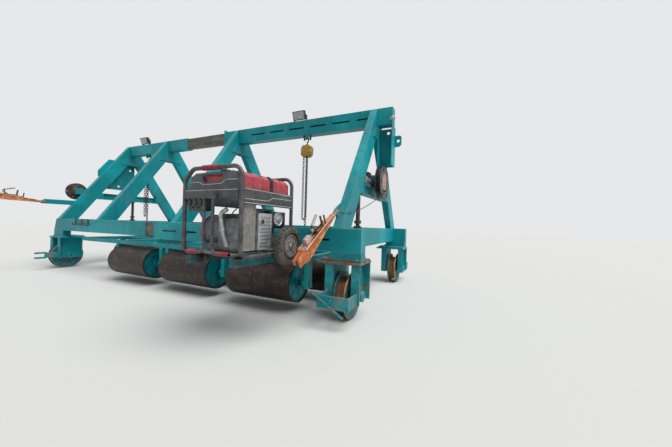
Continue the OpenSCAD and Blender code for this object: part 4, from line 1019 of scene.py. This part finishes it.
# Orange enamel rubbed off the folded edges by hands and cable, so that bare steel shows
# pink and pale through it. The pale bars are also a painted highlight where the case's
# top meets its side.
worn_and_highlit_ridge = weathered("worn_enamel_and_painted_highlight", "#E0B796", "#F0D6C0", "#B98560", "#7A5640", 0.38, 0.2)
complete(repeat(join(*ridges), puller_seats), "puller_ridges", worn_and_highlit_ridge, "gantry")

# The forged hook loop around the pin, the pin with its head and split pin, and the wire
# grab handle over the jaws are plated steel.
LOOP = [(0.105, 0.017, 0), (-0.034, 0.017, 0), (-0.034, -0.017, 0), (0.105, -0.017, 0)]
LOOP_BEND_R = 0.0165
LOOP_R = 0.0065
PIN_R, PIN_HEAD_R = 0.0100, 0.0165
GRAB = [(0.735, -0.040, 0.045), (0.735, -0.040, 0.088), (0.735, 0.040, 0.088), (0.735, 0.040, 0.045)]
GRAB_BEND_R = 0.02
GRAB_R = 0.0040
loop = tube(bent(LOOP, LOOP_BEND_R), LOOP_R, 12)
pin = bar((0, -0.029, 0), (0, 0.029, 0), PIN_R)
pin_head = bar((0, 0.027, 0), (0, 0.034, 0), PIN_HEAD_R, 6)
grab = tube(bent(GRAB, GRAB_BEND_R), GRAB_R, 8)
complete(repeat(join(loop, pin, pin_head, grab), puller_seats), "puller_hooks", zinc_plate,
         "gantry", 0.0008)

# Two lever sockets stand on each case, forged and rusted, with a third stub for the
# release. One still holds a cranked lever end in its pale plastic sleeve.
LEVER_R = 0.0105
CRANK_BEND_R = 0.02
RELEASE_R = 0.0085
CRANKED_LEVER = [(0.455, -0.010, 0.030), (0.500, -0.010, 0.126), (0.440, -0.010, 0.150)]
STRAIGHT_LEVER = [(0.345, 0.008, 0.030), (0.338, 0.008, 0.148)]
RELEASE_STUB = [(0.262, 0.0, 0.020), (0.258, 0.0, 0.112)]
SOCKETS = [((0.452, -0.010, 0.048), (0.462, -0.010, 0.072)),
           ((0.3445, 0.008, 0.040), (0.343, 0.008, 0.066))]
SOCKET_R, SOCKET_HOLE_R = 0.0175, 0.0095
LEVER_LINKS = [((0.250, -0.026, 0.030), (0.470, -0.021, 0.052)),
               ((0.330, 0.018, 0.034), (0.560, 0.023, 0.060))]
RELEASE_BLOCK = ((0.560, -0.034, 0.044), (0.668, 0.012, 0.100))
SLEEVES = [([(0.486, -0.010, 0.131), (0.372, -0.010, 0.178)], 0.0140),
           ([(0.4980, -0.010, 0.086), (0.5030, -0.010, 0.112)], 0.0135)]

# Drop-forged steel, scaled dark in the fire and rusted brown since, rough to the eye.
forged = weathered("rusted_forging", "#5B3B2B", "#7A5440", "#38261D", "#2A2420", 0.6, 0.3)
levers = [tube(bent(CRANKED_LEVER, CRANK_BEND_R), LEVER_R), tube(STRAIGHT_LEVER, LEVER_R),
          tube(RELEASE_STUB, RELEASE_R)]
levers += [ring(start, end, SOCKET_R, SOCKET_HOLE_R) for start, end in SOCKETS]
levers += [slab(*link) for link in LEVER_LINKS]
complete(repeat(join(*levers), puller_seats), "puller_levers", forged, "gantry", 0.0015)

# Pale plastic moulded over the lever ends and the release block, stained pink by rust.
pale_sleeve = weathered("pale_plastic_sleeve", "#B5A299", "#C8B8AF", "#8F786C", "#6F5B4E", 0.5)
sleeves = [tube(ends, radius) for ends, radius in SLEEVES]
release = scaled(slab(*RELEASE_BLOCK), facing(0, 0, 1), (0.72, 0.8, 1))
complete(repeat(join(release, *sleeves), puller_seats), "puller_sleeves", pale_sleeve,
         "gantry", 0.006, 3)

# Two chain hoists hang by their hooks from a bar between two lugs under the top beam.
# Their cast bodies have round covers, ribbed and bolted on both sides.
HOISTS = [(-2.320, 2.409), (1.770, 2.389)]
HOIST_LOW, HOIST_HIGH = 2.049, 2.239
HOIST_MID = (HOIST_LOW + HOIST_HIGH) / 2
HOIST_HALF = 0.090
HOIST_CUT = 0.040
HOIST_INNER = HOIST_HALF - HOIST_CUT
BODY_YS = (-0.046, 0.046)
COVER_Y = 0.058
COVER_R = 0.072
COVER_BOLT_R = 0.005
COVER_BOLT_RING = 0.060
POCKET = ((-0.025, -0.025, HOIST_LOW - 0.01), (0.025, 0.025, HOIST_LOW + 0.125))
BODY = [(-HOIST_HALF, HOIST_LOW + HOIST_CUT), (-HOIST_INNER, HOIST_LOW),
        (HOIST_INNER, HOIST_LOW), (HOIST_HALF, HOIST_LOW + HOIST_CUT),
        (HOIST_HALF, HOIST_HIGH - HOIST_CUT), (HOIST_INNER, HOIST_HIGH),
        (-HOIST_INNER, HOIST_HIGH), (-HOIST_HALF, HOIST_HIGH - HOIST_CUT)]
cover = bar((0, -COVER_Y, HOIST_MID), (0, COVER_Y, HOIST_MID), COVER_R, 40)
inset(cover, facing(0, 1, 0, both=True), (0.014, -0.004), (0.030, 0.006))
cover_bolts = repeat(hex_bolt(COVER_BOLT_R), [seat((x, side * COVER_Y, HOIST_MID + z), (0, side, 0))
                                              for x, z in around(6, COVER_BOLT_RING) for side in (-1, 1)])
housing = cut(join(profile(BODY, *BODY_YS), cover, cover_bolts), slab(*POCKET))
hoists = repeat(housing, [Matrix.Translation((x, 0, 0)) for x, under in HOISTS])
complete(hoists, "hoist_bodies", hoist_enamel, "gantry", 0.003)
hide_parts("chain_hoists")

# A black forged hook joins each hoist to its round bar, which is held between two teal
# lugs welded under the top beam.
HANGER_DROP = 0.045
HANGER_HALF = 0.068
HANGER_R = 0.010
HOOK_R = 0.0085
HOOK_BEND_R = 0.012
LUG_X = 0.055
LUG_HALF = 0.006
hooks = []
lugs = []
for x, under in HOISTS:
    bar_z = under - HANGER_DROP
    hook = [(x, 0, HOIST_HIGH - 0.004), (x, 0, bar_z - 0.048), (x, 0.034, bar_z - 0.040),
            (x, 0.034, bar_z + 0.020), (x, -0.026, bar_z + 0.022), (x, -0.030, bar_z - 0.018)]
    hooks += [bar((x - HANGER_HALF, 0, bar_z), (x + HANGER_HALF, 0, bar_z), HANGER_R),
              tube(bent(hook, HOOK_BEND_R), HOOK_R, 12),
              ring((x, 0, HOIST_HIGH - 0.006), (x, 0, HOIST_HIGH + 0.014), 0.026, 0.010)]
    for lug_x in (x - LUG_X, x + LUG_X):
        lug = slab((lug_x - LUG_HALF, -0.030, under - 0.070), (lug_x + LUG_HALF, 0.030, under))
        lugs.append(scaled(lug, facing(0, 0, -1), (1, 0.5, 1)))
complete(join(*hooks), "hoist_hooks", black_paint, "gantry", 0.001)
complete(join(*lugs), "hoist_lugs", teal_enamel, "gantry", 0.003)

# The carriage hangs on welded link chain that runs up into the hoists. Each link is bent
# from round bar and stands square to the next one.
LINK_WIRE = 0.0055
LINK_BEND = 0.0140
LINK_STRETCH = 0.0125
LINK_PITCH = 0.0420
CHAIN_FOOT, CHAIN_HEAD = 0.622, 2.075
CHAIN_TURN = 0.7


def chain_link(wire, around_link, around_wire):
    """A link of welded chain: a ring of round wire whose halves are pulled apart."""
    link = begin("torus", major_segments=around_link, minor_segments=around_wire, major_radius=LINK_BEND,
                 minor_radius=wire, rotation=(math.pi / 2, 0, 0))
    for side in (-1, 1):
        pick(link, lambda middle, normal: middle.z * side > 0.001)
        bpy.ops.transform.translate(value=(0, 0, side * LINK_STRETCH))
        bpy.ops.object.mode_set(mode="OBJECT")
    return link


link_count = int((CHAIN_HEAD - CHAIN_FOOT) / LINK_PITCH)
link_seats = [Matrix.Translation((x, 0, CHAIN_FOOT + 0.030 + i * LINK_PITCH))
              @ Matrix.Rotation(i * math.pi / 2 + CHAIN_TURN, 4, "Z")
              for x, under in HOISTS for i in range(link_count)]
chains = repeat(chain_link(LINK_WIRE, 14, 8), link_seats)
complete(chains, "lifting_chain_links", black_paint, "drum_carriage")
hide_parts("lifting_chains")

# Each chain's last link hangs in a steel eye on the carriage's rear bar. The left chain
# hangs outside the bar's end, so its eye stands on a short arm welded to that end.
EYES = [(-2.320, 0.632), (1.770, 0.640)]
EYE_R, EYE_HOLE_R = 0.026, 0.012
EYE_ARM = ((-2.352, -0.022, 0.578), (-2.150, 0.022, 0.612))
eye_arm = scaled(slab(*EYE_ARM), facing(-1, 0, 0), (1, 0.7, 0.6), (-2.352, 0, 0.612))
eyes = [ring((x, -0.006, z), (x, 0.006, z), EYE_R, EYE_HOLE_R) for x, z in EYES]
complete(join(eye_arm, *eyes), "chain_eyes", teal_enamel, "drum_carriage", 0.002)

# Each hoist is worked by a hand chain that hangs in a loop from its chain wheel. It is the
# same welded link in a lighter wire, black with grease.
HAND_WIRE = 0.0045
HAND_X, HAND_Y = 0.030, -0.045
HAND_HEAD, HAND_FOOT = 2.033, 1.080
HAND_TURN = 0.4
LOOP_TURNS = (-0.95, 0.0, 0.95)
strand_count = int((HOIST_LOW - HAND_FOOT) / LINK_PITCH)
loop_z = HAND_HEAD - strand_count * LINK_PITCH + 0.012
hand_seats = [Matrix.Translation((x + side * HAND_X, HAND_Y, HAND_HEAD - i * LINK_PITCH))
              @ Matrix.Rotation(i * math.pi / 2 + side * HAND_TURN, 4, "Z")
              for x, under in HOISTS for side in (-1, 1) for i in range(strand_count)]
hand_seats += [Matrix.Translation((x, HAND_Y, loop_z)) @ Matrix.Rotation(turn, 4, "Y")
               @ Matrix.Translation((0, 0, -HAND_X)) @ Matrix.Rotation(math.pi / 2, 4, "Y")
               for x, under in HOISTS for turn in LOOP_TURNS]
hand_chains = repeat(chain_link(HAND_WIRE, 12, 6), hand_seats)
complete(hand_chains, "hoist_hand_chains", black_paint, "gantry")

# A floodlight stands on the top beam over each hoist: a cast case with cooling fins
# behind, a screwed bezel and a pane of toughened glass, clamped in a bent fork.
LAMPS = [(-2.410, 2.629), (1.630, 2.629)]
LAMP_TILT = math.radians(20)
LAMP_UP = 0.070
LAMP_CASE = ((-0.108, -0.056, -0.030), (0.108, 0.000, 0.108))
LAMP_PANE = ((-0.0965, -0.0535, -0.0185), (0.0965, -0.0495, 0.0965))
LAMP_FINS = 11
LAMP_FIN_STEP = 0.0176
FORK_BASE = ((-0.114, -0.038, 0.0), (0.114, 0.038, 0.006))
FORK_ARM = ((-0.003, -0.024, 0.004), (0.003, 0.024, 0.112))
FORK_X = 0.1125
KNOB_XS = (0.106, 0.1158)
KNOB_Z = 0.094
KNOB_R = 0.012
lamp_seats = [Matrix.Translation((x, 0, z + LAMP_UP)) @ Matrix.Rotation(LAMP_TILT, 4, "X")
              for x, z in LAMPS]
lamp_case = slab(*LAMP_CASE)
pick(lamp_case, facing(0, 1, 0))
bpy.ops.mesh.inset(thickness=0.016)
bpy.ops.mesh.extrude_region_move(TRANSFORM_OT_translate={"value": (0, 0.016, 0)})
inset(lamp_case, facing(0, -1, 0), (0.009, 0.0), (0.004, -0.007))
fin_xs = [-0.088 + i * LAMP_FIN_STEP for i in range(LAMP_FINS)]
fins = [slab((x, 0.006, -0.012), (x + 0.004, 0.028, 0.090)) for x in fin_xs]
cases = repeat(join(lamp_case, *fins), lamp_seats)
arm = scaled(slab(*FORK_ARM), facing(0, 0, 1), (1, 0.6, 1))
fork = [slab(*FORK_BASE), repeat(arm, [Matrix.Translation((side * FORK_X, 0, 0)) for side in (-1, 1)])]
fork += [bar((side * KNOB_XS[0], 0, KNOB_Z), (side * KNOB_XS[1], 0, KNOB_Z), KNOB_R, 6) for side in (-1, 1)]
forks = repeat(join(*fork), [Matrix.Translation((x, 0, z)) for x, z in LAMPS])
floodlights = join(cases, forks)
complete(floodlights, "floodlight_cases", black_paint, "gantry", 0.0015)
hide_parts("floodlights")

# Toughened glass over a pale reflector: smooth and glossy, with a grey film of dust.
lamp_glass, tree, shader, place = finish("toughened_lamp_glass", 0.12, Coat_Weight=0.6)
tone = coats(tree, "#9AA3A8", (patches(tree, place, 0.06, 0.4, 0.7), "#B7BEC1"),
             (patches(tree, place, 0.03, 0.56, 0.7, strength=0.6), "#7D7C74"))
surface(tree, shader, tone, patches(tree, place, 0.02, 0.2, 0.8), 0.0001)
pane = inset(slab(*LAMP_PANE), facing(0, -1, 0), (0.006, 0.0015))
complete(repeat(pane, lamp_seats), "floodlight_glass", lamp_glass, "gantry", 0.0006)

# A small white marker lamp is screwed to the top beam's right end: a moulded dome on a
# round foot.
MARKER = (3.168, -0.083, 2.470)
MARKER_R = 0.026
MARKER_FOOT_R = 0.032
MARKER_STEM = ((3.120, -0.072, 2.452), (3.168, -0.066, 2.488))
marker = begin("uv_sphere", segments=28, ring_count=14, radius=MARKER_R, location=MARKER)
scaled(marker, lambda middle, normal: middle.y < MARKER[1], (1, 1.15, 1), MARKER)
marker_foot = bar((MARKER[0], -0.066, MARKER[2]), (MARKER[0], -0.082, MARKER[2]), MARKER_FOOT_R, 28)

# White plastic moulded thin, slightly glossy and yellowed by dust.
white_plastic = weathered("moulded_white_plastic", "#B6B7B3", "#C4C5C2", "#8F8D86", "#7A746A", 0.35)
complete(join(marker, marker_foot, slab(*MARKER_STEM)), "marker_lamp", white_plastic,
         "gantry", 0.001)

# The cable reels are two pressed flanges with six round holes on a drum with an open,
# recessed hub, turning on a steel shaft. Black rubber cable is wound between them.
REELS = [("right_cable_reel", "reel_right", RIGHT_REEL, (3.001, 3.077, 2.945), 0.235, 0.128, 4),
         ("left_cable_reel", "reel_left", LEFT_REEL, (-3.098, -3.174, -3.041), 0.165, 0.090, 2)]
FLANGE_HALF = 0.0035
FLANGE_HOLES = 6
ROLLED_EDGE_R = 0.0040
CORE_WALL = 0.024
CORE_BOSS_R = 0.040
CORE_SUNK, CORE_BOSS = 0.030, 0.020
SHAFT_R = 0.0198
HUB_BOLTS = 5
CABLE_R = 0.0065
CABLE_STEP = 0.0125
LAYER_STEP = 0.0115
LAYER_SHIFT = 0.004

# Rubber extruded over the copper cores, black and matt, greyed where it drags.
cable_rubber = weathered("black_rubber_cable", "#1D1E1F", "#34332F", "#101010", "#5B5247", 0.55)
for body, node, axis, (inner_x, outer_x, shaft_x), flange_r, core_r, layers in REELS:
    y, z = axis[1:]
    side = 1 if outer_x > inner_x else -1
    hole_r = 0.225 * (flange_r - core_r)
    parts = []
    for at in (inner_x + side * FLANGE_HALF, outer_x - side * FLANGE_HALF):
        flange = bar((at - FLANGE_HALF, y, z), (at + FLANGE_HALF, y, z), flange_r, 64)
        holes = [bar((at - 0.02, y + dy, z + dz), (at + 0.02, y + dy, z + dz), hole_r, 20)
                 for dy, dz in around(FLANGE_HOLES, (core_r + flange_r) / 2 + 0.004)]
        rolled = begin("torus", major_segments=64, minor_segments=8, major_radius=flange_r - 0.003,
                       minor_radius=ROLLED_EDGE_R, location=(at, y, z), rotation=(0, math.pi / 2, 0))
        parts += [cut(flange, join(*holes)), rolled]
    core = bar((inner_x, y, z), (outer_x, y, z), core_r, 48)
    pick(core, facing(side, 0, 0))
    for rim, deep in ((CORE_WALL, -CORE_SUNK), (core_r - CORE_WALL - CORE_BOSS_R, CORE_BOSS)):
        bpy.ops.mesh.inset(thickness=rim, depth=0.0)
        bpy.ops.mesh.extrude_region_move(TRANSFORM_OT_translate={"value": (side * deep, 0, 0)})
    bpy.ops.object.mode_set(mode="OBJECT")
    shaft = bar((shaft_x, y, z), (inner_x + side * 0.004, y, z), SHAFT_R, 28)
    sunk_x = outer_x - side * CORE_SUNK
    bolts = repeat(hex_bolt(0.055 * core_r), [seat((sunk_x, y + dy, z + dz), (side, 0, 0))
                                              for dy, dz in around(HUB_BOLTS, 0.45 * core_r)])
    reel = join(*parts, core, shaft, bolts)
    complete(reel, node + "_drum", reel_paints[node], body, 0.001)
    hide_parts(node)
    coils = []
    for layer in range(layers):
        for i in range(4):
            at = inner_x + side * (0.0135 + CABLE_R + i * CABLE_STEP + layer % 2 * LAYER_SHIFT)
            coils.append(begin("torus", major_segments=48, minor_segments=8, minor_radius=CABLE_R,
                               major_radius=core_r + CABLE_R * 0.9 + layer * LAYER_STEP,
                               location=(at, y, z), rotation=(0, math.pi / 2, 0)))
    complete(join(*coils), node + "_winding", cable_rubber, body)

# The right reel's motor is a finned alloy casting on a steel foot. A pressed cover with
# a slotted grill goes over its fan, and its terminal box has a cable gland.
MOTOR_X, MOTOR_Z = 2.891, 1.575
NOSE_YS, NOSE_R = (-0.150, -0.212), 0.040
STATOR_YS, STATOR_R = (-0.205, -0.440), 0.049
MOTOR_FOOT = ((2.846, -0.410, 1.505), (2.936, -0.215, 1.531))
MOTOR_FINS = 32
MOTOR_FIN_LENGTH = 0.210
FAN_COVER_YS, FAN_COVER_R = (-0.425, -0.484), 0.0595
TERMINAL_BOX = ((2.851, -0.360, 1.620), (2.931, -0.240, 1.672))
TERMINAL_LID = ((2.848, -0.363, 1.670), (2.934, -0.237, 1.685))
motor = [bar((MOTOR_X, ys[0], MOTOR_Z), (MOTOR_X, ys[1], MOTOR_Z), radius, sides)
         for ys, radius, sides in ((NOSE_YS, NOSE_R, 36), (STATOR_YS, STATOR_R, 48))]
fin = slab((0.046, -0.0016, -MOTOR_FIN_LENGTH), (0.0588, 0.0016, 0.0))
to_back = Matrix.Translation((MOTOR_X, -0.215, MOTOR_Z)) @ Matrix.Rotation(-math.pi / 2, 4, "X")
along_fin = Matrix.Translation((0, 0, MOTOR_FIN_LENGTH))
motor += [slab(*MOTOR_FOOT), repeat(fin, [to_back @ turn @ along_fin for turn in turns(MOTOR_FINS)])]
motor = complete(join(*motor), "motor_casting", cast_alloy, "gantry", 0.0008)
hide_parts("drive_motor")
fan_cover = bar((MOTOR_X, FAN_COVER_YS[0], MOTOR_Z), (MOTOR_X, FAN_COVER_YS[1], MOTOR_Z), FAN_COVER_R, 48)
inset(fan_cover, facing(0, -1, 0), (0.010, 0.0), *[(0.004, -0.004), (0.005, 0.004)] * 3)
complete(fan_cover, "motor_fan_cover", shield_sheet, "gantry", 0.002)
gland = bar((MOTOR_X, -0.360, 1.648), (MOTOR_X, -0.384, 1.648), 0.013, 6)
complete(join(slab(*TERMINAL_BOX), slab(*TERMINAL_LID), gland), "motor_terminal_box", black_paint,
         "gantry", 0.003)

# One cable leaves the right reel's winding, sags in front of the right frame and is made
# fast at the puller's pin. It is round black rubber cable, 9 mm across.
TAIL_CORNERS = [(3.039, -0.040, 1.415), (3.030, -0.160, 1.368), (2.990, -0.620, 1.205),
                (2.962, -0.960, 1.116), (2.938, -1.100, 1.102), (2.882, -1.166, 1.112)]
TAIL_R = 0.0045
SMOOTHINGS = 2
points = [Vector(corner) for corner in TAIL_CORNERS]
for i in range(SMOOTHINGS):
    between = [before.lerp(after, share) for before, after in zip(points, points[1:])
               for share in (0.25, 0.75)]
    points = [points[0]] + between + [points[-1]]
tail = complete(tube(points, TAIL_R, 12), "reel_cable_tail", cable_rubber, "gantry")

# A rusted steel block is bolted under the carriage's left end as a stop, with two nuts.
STOP = ((-2.188, -0.080, 0.505), (-2.110, 0.030, 0.565))
STOP_NUTS = [(-2.149, -0.055, 0.506), (-2.149, 0.005, 0.506)]
stop = scaled(slab(*STOP), facing(0, 0, -1), (0.8, 0.8, 1))
stop_nuts = repeat(hex_bolt(0.009), [seat(point, (0, 0, -1)) for point in STOP_NUTS])
complete(join(stop, stop_nuts), "carriage_stop", forged, "drum_carriage", 0.004)
